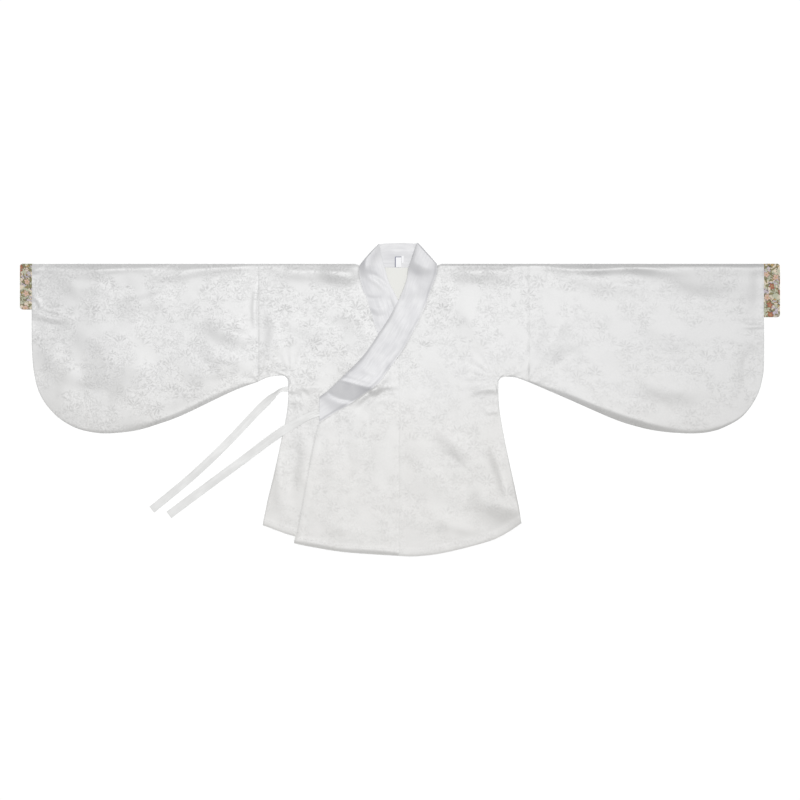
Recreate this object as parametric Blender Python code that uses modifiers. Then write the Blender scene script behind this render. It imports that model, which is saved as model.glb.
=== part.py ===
"""Crossed-collar hanfu jacket with pipa sleeves, laid out flat on a table with its front up.

Sizes are in millimetres and are scaled to metres when a mesh is made. +X is to the right of someone
who looks down at the jacket, +Y runs from the hem to the collar and +Z is up from the table. Left and
right in the names are the wearer's, so the right-hand pieces lie on the -X side.

Each half of the body is one cloth: it runs from the back hem over the shoulder fold to the front hem
and is closed along the side and under the arm. Each sleeve is a flattened tube with a cuff at its
mouth. The left front carries the outer overlap, the right front the inner one, and one collar band
edges both of them and the back of the neck. Two ties lie out to the -X side.
"""

import math
from collections import namedtuple

import bmesh
import bpy
from mathutils import Matrix, Vector

MM = 0.001

# ---------------------------------------------------------------- driving dimensions
WALL = 1.0                  # thickness of the jacquard cloth with its seam allowances
BAND_WALL = 1.4             # thickness of the stiffened collar band
SEAM_GAP = 0.3              # clearance between two pieces that are sewn together
HALF_GAP = SEAM_GAP / 2     # what each side of a centre seam gives up
RIM_ROUND = 0.9             # how far a fold or a closed seam rounds out past its outline
TOP_INNER = 3.2             # height of the upper face of the right front and both sleeves
AIR = 0.4                   # air between two layers that lie on each other
TOP_OUTER = TOP_INNER + AIR + WALL

SHOULDER_Y = 321.0          # the straight fold along the shoulders and both sleeves
NECK_CORNER = 4.0           # the shoulder fold ends this far out from the neck point
CENTRE_X = -3.0             # centre seams, front and back
HALF_SPAN = 900.0           # centre of the table to the end of either cuff
GRID = 27.0                 # spacing of the lines that let a cloth bend
GRID_SNAP = 2.0             # a line this close to a point of the outline runs through that point
CURVE_STEPS = 2             # straight steps between two rows of an outline's table

SEAM_RIGHT_X = -336.5       # seam between the body and the sleeve piece
SEAM_LEFT_X = 303.5
MOUTH_RIGHT_X = -872.0      # where the sleeve ends and the cuff begins
MOUTH_LEFT_X = 862.0
CUFF_RIGHT_DEPTH = 107.0    # flat width of the sleeve's mouth
CUFF_LEFT_DEPTH = 125.0

JOINED = "joined"           # a fold, or a seam that closes front and back together
FREE = "free"               # a hem, a mouth, or an edge that another piece is sewn to

Run = namedtuple("Run", "kind points smooth")
Fold = namedtuple("Fold", "start end rise spread")
BandRow = namedtuple("BandRow", "seam free")
TieRow = namedtuple("TieRow", "x y width middle")

# ---------------------------------------------------------------- outlines, from the shoulder down
# Lower edge of each pipa sleeve, from the mouth round the belly to the body seam.
SLEEVE_RIGHT_BELLY = [
    (-872.0, 211.5), (-871.0, 112.0), (-863.0, 46.0), (-846.0, 1.0), (-815.0, -37.0), (-777.0, -62.5),
    (-739.0, -75.0), (-692.0, -79.5), (-626.0, -72.5), (-569.0, -56.0), (-512.0, -34.5), (-398.0, 20.0),
    (-336.5, 43.0),
]
SLEEVE_LEFT_BELLY = [
    (862.0, 193.5), (862.0, 92.0), (858.0, 49.0), (844.0, 6.0), (812.0, -38.5), (768.0, -65.0),
    (730.0, -76.5), (683.0, -79.5), (616.0, -74.5), (559.0, -62.5), (502.0, -43.5), (389.0, 6.0),
    (303.5, 43.0),
]
# Under the arm, from the sleeve seam to the side seam, and down the side to the hem.
UNDERARM_RIGHT = [(-336.5, 43.0), (-318.0, 52.0), (-299.0, 56.5), (-275.0, 57.5), (-265.0, 49.0)]
SIDE_RIGHT = [
    (-265.0, 49.0), (-263.5, 18.0), (-267.0, -30.0), (-281.0, -100.0), (-298.5, -181.0),
    (-312.5, -238.0), (-324.5, -297.5),
]
UNDERARM_LEFT = [(303.5, 43.0), (280.0, 52.0), (256.0, 55.5), (240.0, 53.0), (232.5, 44.0)]
SIDE_LEFT = [
    (232.5, 44.0), (232.5, 14.0), (235.0, -25.0), (247.0, -95.0), (262.0, -165.0),
    (279.0, -245.0), (287.0, -293.0),
]
# Hems run from the side seam to the centre seam, and the overlaps' from the centre to their free edge.
HEM_FRONT_RIGHT = [(-324.5, -297.5), (-251.0, -323.5), (-142.0, -347.0), (CENTRE_X, -361.0)]
HEM_FRONT_LEFT = [
    (287.0, -293.0), (256.0, -314.0), (218.0, -333.0), (161.0, -349.5), (95.0, -364.5),
    (38.0, -371.0), (CENTRE_X, -370.0),
]
HEM_BACK_RIGHT = [(-324.5, -297.5), (-251.0, -320.5), (-142.0, -344.0), (CENTRE_X, -358.0)]
HEM_BACK_LEFT = [(287.0, -293.0), (218.0, -329.0), (95.0, -357.0), (CENTRE_X, -358.0)]
HEM_OUTER = [(CENTRE_X, -370.0), (-66.0, -366.5), (-142.0, -360.0), (-218.0, -347.5), (-251.0, -340.0)]
HEM_INNER = [(CENTRE_X, -361.0), (71.0, -352.0), (142.0, -332.0), (211.0, -302.0)]
OUTER_FREE_EDGE = [
    (-251.0, -340.0), (-237.0, -271.0), (-219.0, -172.0), (-204.0, -96.0), (-197.5, -70.0),
    (-191.0, -53.5),
]
INNER_FREE_EDGE = [(211.0, -302.0), (199.0, -167.0), (185.0, -77.0)]

# The collar band: the edge that is sewn to the cloth, and its free edge, row by row.
BAND_OUTER = [
    BandRow((87.5, 317.0), (40.0, 369.0)),
    BandRow((87.0, 304.5), (30.0, 336.5)),
    BandRow((83.0, 289.0), (20.5, 311.5)),
    BandRow((72.5, 262.0), (15.5, 283.0)),
    BandRow((61.0, 224.5), (3.5, 250.0)),
    BandRow((44.0, 188.5), (-13.0, 218.0)),
    BandRow((27.0, 157.0), (-28.5, 189.5)),
    BandRow((6.0, 118.5), (-48.5, 159.0)),
    BandRow((-27.5, 73.0), (-78.0, 115.0)),
    BandRow((-55.0, 36.5), (-102.0, 86.5)),
    BandRow((-114.0, -6.0), (-139.0, 50.0)),
    BandRow((-154.0, -29.5), (-168.0, 23.0)),
    BandRow((-191.0, -53.5), (-190.5, 6.0)),
]
BAND_BACK = [
    BandRow((87.5, 317.0), (40.0, 369.0)),
    BandRow((57.0, 315.0), (24.0, 370.0)),
    BandRow((24.0, 314.0), (9.5, 370.5)),
    BandRow((CENTRE_X, 313.5), (CENTRE_X, 370.5)),
    BandRow((-31.0, 314.0), (-19.0, 370.0)),
    BandRow((-64.0, 315.0), (-35.0, 369.5)),
    BandRow((-94.5, 317.0), (-49.0, 368.0)),
]
BAND_INNER = [
    BandRow((-94.5, 317.0), (-49.0, 368.0)),
    BandRow((-96.0, 303.0), (-44.0, 340.0)),
    BandRow((-92.5, 284.0), (-36.0, 312.5)),
    BandRow((-87.0, 260.5), (-30.0, 289.0)),
    BandRow((-78.5, 239.0), (-21.5, 268.0)),
    BandRow((-66.5, 201.0), (-6.0, 238.0)),
    BandRow((-53.5, 162.5), (7.0, 195.5)),
    BandRow((-33.0, 124.5), (25.0, 156.5)),
    BandRow((CENTRE_X, 79.5), (48.5, 117.5)),
    BandRow((28.5, 41.5), (77.0, 82.0)),
    BandRow((66.5, 6.0), (109.0, 50.0)),
    BandRow((109.0, -25.0), (144.5, 22.5)),
    BandRow((185.0, -77.0), (194.5, -18.0)),
]
BAND_FOLD_INSET = 6.0       # the folds at the neck start this far up from the sewn edge
BAND_FOLD_TURNS = 5         # flat steps round each fold at the neck
BAND_ACROSS = 4             # strips across the band
BAND_BACK_MIDDLE = 0.75     # height of the band's middle behind the neck
BAND_INNER_MIDDLE = 2.45
BAND_OUTER_MIDDLE = 4.4
BAND_INNER_NECK_LIFT = 0.9  # the band stands a little off where it turns at the neck
BAND_OUTER_NECK_LIFT = 1.4
NECK_LIFT_REACH = 60.0
# A crosswise crease where the band bends near the ties: its ends, its rise, and its two slopes.
CREASE_START = (-138.0, 56.0)
CREASE_END = (-66.0, 32.0)
CREASE_RISE = 6.5
CREASE_SLOPE_BELOW = 26.0
CREASE_SLOPE_ABOVE = 34.0

# ---------------------------------------------------------------- the largest folds in the cloth
FOLDS_SLEEVE_RIGHT = [
    Fold((-866.0, 193.0), (-790.0, 178.0), 1.6, 20.0),
    Fold((-862.0, 160.0), (-780.0, 20.0), 1.1, 34.0),
    Fold((-782.0, 272.0), (-700.0, 232.0), -0.9, 26.0),
    Fold((-664.0, 236.0), (-560.0, 196.0), -0.9, 28.0),
    Fold((-760.0, 20.0), (-560.0, 40.0), 1.3, 46.0),
    Fold((-462.0, 180.0), (-385.0, 115.0), -0.9, 26.0),
    Fold((-520.0, 240.0), (-400.0, 250.0), 1.2, 34.0),
    Fold((-345.0, 190.0), (-345.0, 110.0), 1.0, 22.0),
]
FOLDS_SLEEVE_LEFT = [
    Fold((856.0, 176.0), (790.0, 160.0), 1.5, 22.0),
    Fold((380.0, 300.0), (565.0, 268.0), -0.9, 24.0),
    Fold((616.0, 262.0), (712.0, 226.0), -0.8, 28.0),
    Fold((592.0, 14.0), (690.0, -10.0), -0.9, 30.0),
    Fold((470.0, 60.0), (700.0, 70.0), 1.4, 44.0),
    Fold((730.0, 190.0), (640.0, 130.0), 1.1, 36.0),
    Fold((420.0, 200.0), (330.0, 90.0), 1.3, 28.0),
]
FOLDS_BODY_RIGHT = [
    Fold((-272.0, 66.0), (-236.0, 118.0), 1.4, 18.0),
    Fold((-258.0, 38.0), (-224.0, 30.0), 1.0, 14.0),
    Fold((-300.0, 250.0), (-210.0, 215.0), 1.2, 34.0),
    Fold((-285.0, -150.0), (-272.0, -235.0), 1.0, 22.0),
]
FOLDS_BODY_LEFT = [
    Fold((238.0, 62.0), (190.0, 120.0), 1.6, 20.0),
    Fold((228.0, 44.0), (160.0, 40.0), 1.2, 16.0),
    Fold((110.0, -60.0), (172.0, -190.0), 1.5, 30.0),
    Fold((215.0, -120.0), (246.0, -260.0), 1.3, 26.0),
    Fold((250.0, 240.0), (150.0, 190.0), 1.2, 36.0),
]
FOLDS_OUTER = [
    Fold((-160.0, -110.0), (-120.0, -250.0), 1.2, 30.0),
    Fold((-60.0, -60.0), (-75.0, -200.0), 0.9, 28.0),
]
SLEEVE_LOFT = 0.9           # how much the middle of a sleeve stands above its rims
SLEEVE_LOFT_REACH = 90.0

# ---------------------------------------------------------------- ties and labels
TIE_WALL = 1.0
TIE_FLOOR_MIDDLE = 0.55     # height of a tie's middle where it lies on the table
TIE_OVER_MIDDLE = 4.2       # and where it crosses the right front
TIE_SIDE = [
    TieRow(-266.9, 26.0, 12.0, 1.7),
    TieRow(-284.5, 21.5, 8.0, 1.3),
    TieRow(-303.5, 6.5, 12.0, 0.8),
    TieRow(-322.5, -12.0, 17.0, TIE_FLOOR_MIDDLE),
    TieRow(-341.5, -31.0, 18.0, TIE_FLOOR_MIDDLE),
    TieRow(-398.0, -91.0, 18.0, TIE_FLOOR_MIDDLE),
    TieRow(-455.0, -147.5, 18.0, TIE_FLOOR_MIDDLE),
    TieRow(-512.0, -198.5, 18.0, TIE_FLOOR_MIDDLE),
    TieRow(-588.0, -261.0, 18.0, TIE_FLOOR_MIDDLE),
]
TIE_FRONT = [
    TieRow(-194.4, -31.5, 19.0, TIE_OVER_MIDDLE),
    TieRow(-215.5, -39.0, 17.0, TIE_OVER_MIDDLE),
    TieRow(-244.0, -54.5, 18.0, TIE_OVER_MIDDLE),
    TieRow(-279.0, -75.0, 19.0, TIE_OVER_MIDDLE),
    TieRow(-302.0, -91.0, 19.0, 1.8),
    TieRow(-322.0, -105.5, 19.0, TIE_FLOOR_MIDDLE),
    TieRow(-417.0, -176.5, 19.0, TIE_FLOOR_MIDDLE),
    TieRow(-474.0, -218.5, 19.0, TIE_FLOOR_MIDDLE),
    TieRow(-547.5, -273.5, 19.0, TIE_FLOOR_MIDDLE),
]
LABEL_THICKNESS = 1.0
LABEL_MIDDLE = BAND_BACK_MIDDLE + BAND_WALL / 2 + SEAM_GAP + LABEL_THICKNESS / 2
LABEL_SIZE = (15.0, 25.0)
LABEL_PLACE = (-4.5, 326.0)
SIZE_TAB_SIZE = (5.0, 17.0)
SIZE_TAB_PLACE = (6.5, 331.5)

# ---------------------------------------------------------------- scene
for old in list(bpy.data.objects):
    bpy.data.objects.remove(old, do_unlink=True)
garment = bpy.data.collections.new("crossed_collar_jacket")
bpy.context.scene.collection.children.link(garment)


def cloth_material(name, colour, roughness):
    """A plain cloth: the diffuse colour is linear, and nothing on it is metal."""
    material = bpy.data.materials.new(name)
    material.use_nodes = True
    shader = material.node_tree.nodes["Principled BSDF"]
    shader.inputs["Base Color"].default_value = (*colour, 1.0)
    shader.inputs["Roughness"].default_value = roughness
    shader.inputs["Metallic"].default_value = 0.0
    return material


JACQUARD = cloth_material("white_jacquard", (0.80, 0.80, 0.79), 0.45)
SATIN = cloth_material("lavender_white_satin", (0.72, 0.72, 0.76), 0.38)
PRINT = cloth_material("floral_cuff_cloth", (0.55, 0.42, 0.30), 0.6)
TAPE = cloth_material("white_label_tape", (0.88, 0.88, 0.88), 0.6)


# ---------------------------------------------------------------- curves
def spline(points, steps):
    """Points of a Catmull-Rom curve through the given points, with so many steps between two."""
    rows = [Vector(point) for point in points]
    rows = [2 * rows[0] - rows[1]] + rows + [2 * rows[-1] - rows[-2]]
    curve = []
    for before, start, end, after in zip(rows, rows[1:], rows[2:], rows[3:]):
        for step in range(steps):
            t = step / steps
            curve.append(0.5 * (2 * start + (end - before) * t
                                + (2 * before - 5 * start + 4 * end - after) * t ** 2
                                + (3 * start - before - 3 * end + after) * t ** 3))
    return curve + [rows[-2]]


def cut_at_centre(curve):
    """Split a curve at the centre seam; both halves keep the point on the seam."""
    for index, (start, end) in enumerate(zip(curve, curve[1:])):
        if (start.x - CENTRE_X) * (end.x - CENTRE_X) <= 0.0 and start.x != end.x:
            crossing = start.lerp(end, (CENTRE_X - start.x) / (end.x - start.x))
            crossing.x = CENTRE_X
            head = [point for point in curve[:index + 1] if abs(point.x - CENTRE_X) > 1e-6]
            tail = [point for point in curve[index + 1:] if abs(point.x - CENTRE_X) > 1e-6]
            return head + [crossing], [crossing] + tail
    raise ValueError("the curve does not cross the centre seam")


def distance_to_segment(point, start, end):
    along = end - start
    share = max(0.0, min(1.0, (point - start).dot(along) / along.length_squared))
    return (point - start - share * along).length


def distance_to_path(point, path):
    return min(distance_to_segment(point, start, end) for start, end in zip(path, path[1:]))


def fold_rise(point, folds):
    """Sum of the soft ridges and troughs at a point."""
    total = 0.0
    for fold in folds:
        away = distance_to_segment(point, Vector(fold.start), Vector(fold.end))
        total += fold.rise * math.exp(-(away / fold.spread) ** 2)
    return total


# ---------------------------------------------------------------- cloth
def flat_sheet(runs):
    """A flat cloth inside closed outline runs, cut by a square grid; joined runs are marked as seams."""
    corners = []
    kinds = []
    for run in runs:
        points = spline(run.points, CURVE_STEPS) if run.smooth else [Vector(point) for point in run.points]
        corners += points[:-1]
        kinds += [run.kind] * (len(points) - 1)
    sheet = bmesh.new()
    ring = [sheet.verts.new((point.x * MM, point.y * MM, 0.0)) for point in corners]
    for index, kind in enumerate(kinds):
        edge = sheet.edges.new((ring[index], ring[(index + 1) % len(ring)]))
        edge.seam = kind == JOINED
    face = sheet.faces.new(ring)
    face.normal_update()
    if face.normal.z < 0.0:
        face.normal_flip()
    for axis in range(2):
        low = min(point[axis] for point in corners)
        high = max(point[axis] for point in corners)
        first = math.ceil(low / GRID)
        for line in range(first, math.floor(high / GRID) + 1):
            place = Vector((0.0, 0.0, 0.0))
            normal = Vector((0.0, 0.0, 0.0))
            place[axis] = line * GRID * MM
            normal[axis] = 1.0
            everything = sheet.verts[:] + sheet.edges[:] + sheet.faces[:]
            bmesh.ops.bisect_plane(sheet, geom=everything, dist=GRID_SNAP * MM,
                                   plane_co=place, plane_no=normal)
    return sheet


def raise_sheet(sheet, height):
    """Lift every point of a sheet to the height that a function gives in millimetres."""
    for vert in sheet.verts:
        vert.co.z = height(Vector((vert.co.x / MM, vert.co.y / MM))) * MM


def outward_directions(edges):
    """For each point of some border edges, the level direction that points out of the cloth."""
    directions = {}
    for edge in edges:
        start, end = (vert.co for vert in edge.verts)
        across = Vector((end.y - start.y, start.x - end.x, 0.0)).normalized()
        middle = (start + end) / 2
        if across.dot(edge.link_faces[0].calc_center_median() - middle) > 0.0:
            across = -across
        for vert in edge.verts:
            directions[vert] = directions.get(vert, Vector()) + across
    return {vert: direction.normalized() for vert, direction in directions.items()}


def close_onto_back(front, back):
    """Bring the joined border of a front down to the table, round it, and weld it to its back."""
    border = [edge for edge in front.edges if edge.seam and edge.is_boundary]
    outward = outward_directions(border)
    made = bmesh.ops.extrude_edge_only(front, edges=border)["geom"]
    middle = [item for item in made if isinstance(item, bmesh.types.BMVert)]
    shifts = {}
    for vert in middle:
        above = next(edge.other_vert(vert) for edge in vert.link_edges
                     if edge.other_vert(vert) in outward)
        shifts[vert] = outward[above] * RIM_ROUND * MM
    for vert in middle:
        vert.co += shifts[vert]
        vert.co.z *= 0.5
    rim = [item for item in made if isinstance(item, bmesh.types.BMEdge)
           and all(vert in shifts for vert in item.verts)]
    made = bmesh.ops.extrude_edge_only(front, edges=rim)["geom"]
    lowest = [item for item in made if isinstance(item, bmesh.types.BMVert)]
    for vert in lowest:
        above = next(edge.other_vert(vert) for edge in vert.link_edges
                     if edge.other_vert(vert) in shifts)
        vert.co -= shifts[above]
        vert.co.z = 0.0
    bmesh.ops.dissolve_edges(back, edges=[edge for edge in back.edges if not edge.is_boundary],
                             use_verts=False)
    bmesh.ops.reverse_faces(back, faces=back.faces[:])
    joined = bpy.data.meshes.new("back")
    back.to_mesh(joined)
    front.from_mesh(joined)
    bpy.data.meshes.remove(joined)
    back.free()
    bmesh.ops.remove_doubles(front, verts=front.verts[:], dist=1e-6)


def finish_piece(name, sheet, material, thickness, offset):
    """Make an object of an open sheet and give it its wall."""
    mesh = bpy.data.meshes.new(name)
    sheet.to_mesh(mesh)
    sheet.free()
    mesh.materials.append(material)
    piece = bpy.data.objects.new(name, mesh)
    garment.objects.link(piece)
    wall = piece.modifiers.new("wall", "SOLIDIFY")
    wall.thickness = thickness * MM
    wall.offset = offset
    wall.use_even_offset = True
    wall.use_rim = True
    mesh.shade_smooth()
    mesh.set_sharp_from_angle(angle=math.radians(40.0))
    return piece


def folded_cloth(name, front_runs, back_runs, height, material=JACQUARD):
    """A front and a back in one cloth, the front lifted by its height function."""
    front = flat_sheet(front_runs)
    back = flat_sheet(back_runs)
    raise_sheet(front, height)
    close_onto_back(front, back)
    return finish_piece(name, front, material, WALL, -1.0)


def single_cloth(name, runs, height, material=JACQUARD):
    """One layer of cloth whose upper face follows its height function."""
    sheet = flat_sheet(runs)
    raise_sheet(sheet, height)
    return finish_piece(name, sheet, material, WALL, -1.0)


def strip(name, sections, across, material, thickness):
    """A band lofted through sections; each section gives a point for a share from 0 to 1 across."""
    band = bmesh.new()
    bmesh.ops.create_grid(band, x_segments=len(sections) - 1, y_segments=across, size=1.0)
    for vert in band.verts:
        index = round((vert.co.x + 1.0) / 2 * (len(sections) - 1))
        share = (vert.co.y + 1.0) / 2
        vert.co = sections[index](share) * MM
    return finish_piece(name, band, material, thickness, 0.0)


# ---------------------------------------------------------------- body halves
def band_curve(rows, edge):
    """One edge of the collar band as a smooth curve: its seam or its free edge."""
    return spline([getattr(row, edge) for row in rows], CURVE_STEPS)


def plain(points):
    return [tuple(point) for point in points]


outer_neck, outer_slant = cut_at_centre(band_curve(BAND_OUTER, "seam"))
inner_neck, inner_slant = cut_at_centre(band_curve(BAND_INNER, "seam"))
back_neck_left, back_neck_right = cut_at_centre(band_curve(BAND_BACK, "seam"))


def body_runs(seam_x, underarm, side, hem, neck, gap_x):
    """Outline of one layer of a body half: shoulder, neck, centre, hem, side and underarm."""
    hem_curve = plain(spline(hem, CURVE_STEPS))
    centre_x = CENTRE_X + gap_x
    neck = plain(neck)
    neck[-1] = (centre_x, neck[-1][1])
    hem_curve[-1] = (centre_x, hem_curve[-1][1])
    neck_point = neck[0]
    shoulder_end = (neck_point[0] + math.copysign(NECK_CORNER, seam_x), SHOULDER_Y)
    return [
        Run(JOINED, [(seam_x, SHOULDER_Y), shoulder_end, neck_point], False),
        Run(FREE, neck, False),
        Run(FREE, [neck[-1], hem_curve[-1]], False),
        Run(FREE, hem_curve[::-1], False),
        Run(JOINED, side[::-1], True),
        Run(JOINED, underarm[::-1], True),
        Run(FREE, [underarm[0], (seam_x, SHOULDER_Y)], False),
    ]


right_front = body_runs(SEAM_RIGHT_X, UNDERARM_RIGHT, SIDE_RIGHT, HEM_FRONT_RIGHT, inner_neck, -HALF_GAP)
right_back = body_runs(SEAM_RIGHT_X, UNDERARM_RIGHT, SIDE_RIGHT, HEM_BACK_RIGHT,
                       back_neck_right[::-1], -HALF_GAP)
left_front = body_runs(SEAM_LEFT_X, UNDERARM_LEFT, SIDE_LEFT, HEM_FRONT_LEFT, outer_neck, HALF_GAP)
left_back = body_runs(SEAM_LEFT_X, UNDERARM_LEFT, SIDE_LEFT, HEM_BACK_LEFT, back_neck_left, HALF_GAP)

folded_cloth("body_right", right_front, right_back,
             lambda point: TOP_INNER + fold_rise(point, FOLDS_BODY_RIGHT))
folded_cloth("body_left", left_front, left_back,
             lambda point: TOP_OUTER + fold_rise(point, FOLDS_BODY_LEFT))


# ---------------------------------------------------------------- overlaps
def overlap_runs(slant, free_edge, hem, gap_x):
    """Outline of an overlap: centre seam, hem, free edge and the slant under the collar band."""
    centre_x = CENTRE_X + gap_x
    slant = plain(slant)
    slant[0] = (centre_x, slant[0][1])
    hem_curve = plain(spline(hem, CURVE_STEPS))
    hem_curve[0] = (centre_x, hem_curve[0][1])
    return [
        Run(FREE, [slant[0], hem_curve[0]], False),
        Run(FREE, hem_curve, False),
        Run(FREE, free_edge, True),
        Run(FREE, slant[::-1], False),
    ]


single_cloth("outer_overlap", overlap_runs(outer_slant, OUTER_FREE_EDGE, HEM_OUTER, -HALF_GAP),
             lambda point: TOP_OUTER + fold_rise(point, FOLDS_OUTER))
single_cloth("inner_overlap", overlap_runs(inner_slant, INNER_FREE_EDGE, HEM_INNER, HALF_GAP),
             lambda point: TOP_INNER)


# ---------------------------------------------------------------- sleeves and cuffs
def sleeve_runs(seam_x, mouth_x, belly):
    """Outline of a sleeve: top fold, mouth, and the sewn edge from the mouth round the belly."""
    return [
        Run(JOINED, [(seam_x, SHOULDER_Y), (mouth_x, SHOULDER_Y)], False),
        Run(FREE, [(mouth_x, SHOULDER_Y), belly[0]], False),
        Run(JOINED, belly, True),
        Run(FREE, [belly[-1], (seam_x, SHOULDER_Y)], False),
    ]


def sleeve(name, side, seam_x, mouth_x, belly, folds, top_at_seam):
    """A flattened pipa sleeve; side is -1 or +1 along X."""
    start_x = seam_x + side * SEAM_GAP
    belly = belly[:-1] + [(start_x, belly[-1][1])]
    runs = sleeve_runs(start_x, mouth_x, belly)
    rims = spline(belly, CURVE_STEPS)
    top = [Vector((start_x, SHOULDER_Y)), Vector((mouth_x, SHOULDER_Y))]
    length = abs(mouth_x - seam_x)

    def height(point):
        """From the body's height at the seam to the cuff's at the mouth, with loft and folds."""
        along = min(1.0, abs(point.x - start_x) / length)
        base = top_at_seam + (TOP_INNER - top_at_seam) * along
        rim = min(distance_to_path(point, rims), distance_to_path(point, top))
        mouth = min(1.0, abs(point.x - mouth_x) / SLEEVE_LOFT_REACH)
        seam = min(1.0, abs(point.x - start_x) / SLEEVE_LOFT_REACH)
        loft = SLEEVE_LOFT * (1.0 - math.exp(-rim / SLEEVE_LOFT_REACH)) * min(mouth, seam)
        share = min(1.0, rim / GRID)
        return base + loft + share * fold_rise(point, folds) * min(1.0, 4.0 * seam, 4.0 * mouth)

    return folded_cloth(name, runs, runs, height)


def cuff(name, side, mouth_x, depth):
    """The turned cuff beyond a sleeve's mouth, closed above and below."""
    inner_x = mouth_x + side * SEAM_GAP
    outer_x = side * HALF_SPAN
    low_y = SHOULDER_Y - depth
    runs = [
        Run(JOINED, [(inner_x, SHOULDER_Y), (outer_x, SHOULDER_Y)], False),
        Run(FREE, [(outer_x, SHOULDER_Y), (outer_x, low_y)], False),
        Run(JOINED, [(outer_x, low_y), (inner_x, low_y)], False),
        Run(FREE, [(inner_x, low_y), (inner_x, SHOULDER_Y)], False),
    ]
    return folded_cloth(name, runs, runs, lambda point: TOP_INNER, PRINT)


sleeve("sleeve_right", -1, SEAM_RIGHT_X, MOUTH_RIGHT_X, SLEEVE_RIGHT_BELLY, FOLDS_SLEEVE_RIGHT, TOP_INNER)
sleeve("sleeve_left", 1, SEAM_LEFT_X, MOUTH_LEFT_X, SLEEVE_LEFT_BELLY, FOLDS_SLEEVE_LEFT, TOP_OUTER)
cuff("cuff_right", -1, MOUTH_RIGHT_X, CUFF_RIGHT_DEPTH)
cuff("cuff_left", 1, MOUTH_LEFT_X, CUFF_LEFT_DEPTH)


# ---------------------------------------------------------------- collar band
def crease_rise(point):
    """Height of the crosswise crease in the outer stretch: a ridge with a steep and a soft side."""
    start, end = Vector(CREASE_START), Vector(CREASE_END)
    along = (end - start).normalized()
    above = Vector((-along.y, along.x))
    beyond = max(0.0, -(point - start).dot(along), (point - end).dot(along))
    side = (point - start).dot(above)
    slope = CREASE_SLOPE_ABOVE if side > 0.0 else CREASE_SLOPE_BELOW
    return CREASE_RISE * math.exp(-(side / slope) ** 2 - (beyond / CREASE_SLOPE_BELOW) ** 2)


def section(seam, free, height):
    """A function that gives the point of a section for a share across the band."""
    def place(share):
        flat = seam.lerp(free, share)
        return Vector((flat.x, flat.y, height(flat)))
    return place


def band_stretch(rows, height):
    """Sections along one stretch of the band, with its sewn edge kept clear of the cloth."""
    sections = []
    for seam, free in zip(band_curve(rows, "seam"), band_curve(rows, "free")):
        clear = seam + (free - seam).normalized() * SEAM_GAP
        sections.append(section(clear, free, height))
    return sections


def neck_lift(row, lift):
    """Extra height near a neck fold, fading along the band."""
    middle = (Vector(row.seam) + Vector(row.free)) / 2

    def height(point):
        return lift * math.exp(-((point - middle).length / NECK_LIFT_REACH) ** 2)
    return height


def neck_fold(row, top, side):
    """Sections of the U-turn at a neck fold, from the back stretch up to the front one; side is +-1."""
    axis = (Vector(row.free) - Vector(row.seam)).normalized()
    outward = Vector((axis.y, -axis.x)) * side
    start = Vector(row.seam) + axis * BAND_FOLD_INSET
    radius = (top - BAND_BACK_MIDDLE) / 2
    sections = []
    for turn in range(BAND_FOLD_TURNS + 1):
        angle = math.pi * turn / BAND_FOLD_TURNS
        shift = outward * radius * math.sin(angle)
        rise = BAND_BACK_MIDDLE + radius * (1.0 - math.cos(angle))
        sections.append(section(start + shift, Vector(row.free) + shift, lambda point, z=rise: z))
    return sections


outer_lift = neck_lift(BAND_OUTER[0], BAND_OUTER_NECK_LIFT)
inner_lift = neck_lift(BAND_INNER[0], BAND_INNER_NECK_LIFT)
outer_fold = neck_fold(BAND_OUTER[0], BAND_OUTER_MIDDLE + BAND_OUTER_NECK_LIFT, 1)
inner_fold = neck_fold(BAND_INNER[0], BAND_INNER_MIDDLE + BAND_INNER_NECK_LIFT, -1)
outer_stretch = band_stretch(
    BAND_OUTER, lambda point: BAND_OUTER_MIDDLE + outer_lift(point) + crease_rise(point))
back_stretch = band_stretch(BAND_BACK, lambda point: BAND_BACK_MIDDLE)
inner_stretch = band_stretch(BAND_INNER, lambda point: BAND_INNER_MIDDLE + inner_lift(point))
band_sections = (outer_stretch[:0:-1] + outer_fold[::-1] + back_stretch[1:-1]
                 + inner_fold + inner_stretch[1:])
strip("collar", band_sections, BAND_ACROSS, SATIN, BAND_WALL)


# ---------------------------------------------------------------- ties and labels
def tie(name, rows):
    """A flat cloth tie through its rows, with square ends."""
    line = spline([(row.x, row.y, row.middle) for row in rows], 4)
    widths = [point.x for point in spline([(row.width, 0.0) for row in rows], 4)]
    sections = []
    for index, (point, width) in enumerate(zip(line, widths)):
        point.z = max(point.z, TIE_FLOOR_MIDDLE)
        ahead = line[min(index + 1, len(line) - 1)] - line[max(index - 1, 0)]
        across = Vector((-ahead.y, ahead.x, 0.0)).normalized() * width / 2
        sections.append(lambda share, middle=point, half=across: middle + half * (2 * share - 1))
    return strip(name, sections, 1, SATIN, TIE_WALL)


def label(name, size, place):
    """A bare woven tag that lies on the inside of the band behind the neck."""
    tag = bmesh.new()
    bmesh.ops.create_grid(tag, x_segments=1, y_segments=1, size=0.5)
    bmesh.ops.transform(tag, matrix=Matrix.Diagonal((size[0] * MM, size[1] * MM, 1.0, 1.0)),
                        verts=tag.verts[:])
    bmesh.ops.translate(tag, vec=Vector((place[0], place[1], LABEL_MIDDLE)) * MM, verts=tag.verts[:])
    return finish_piece(name, tag, TAPE, LABEL_THICKNESS, 0.0)


tie("tie_side", TIE_SIDE)
tie("tie_front", TIE_FRONT)
label("label", LABEL_SIZE, LABEL_PLACE)
label("size_tab", SIZE_TAB_SIZE, SIZE_TAB_PLACE)
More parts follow.
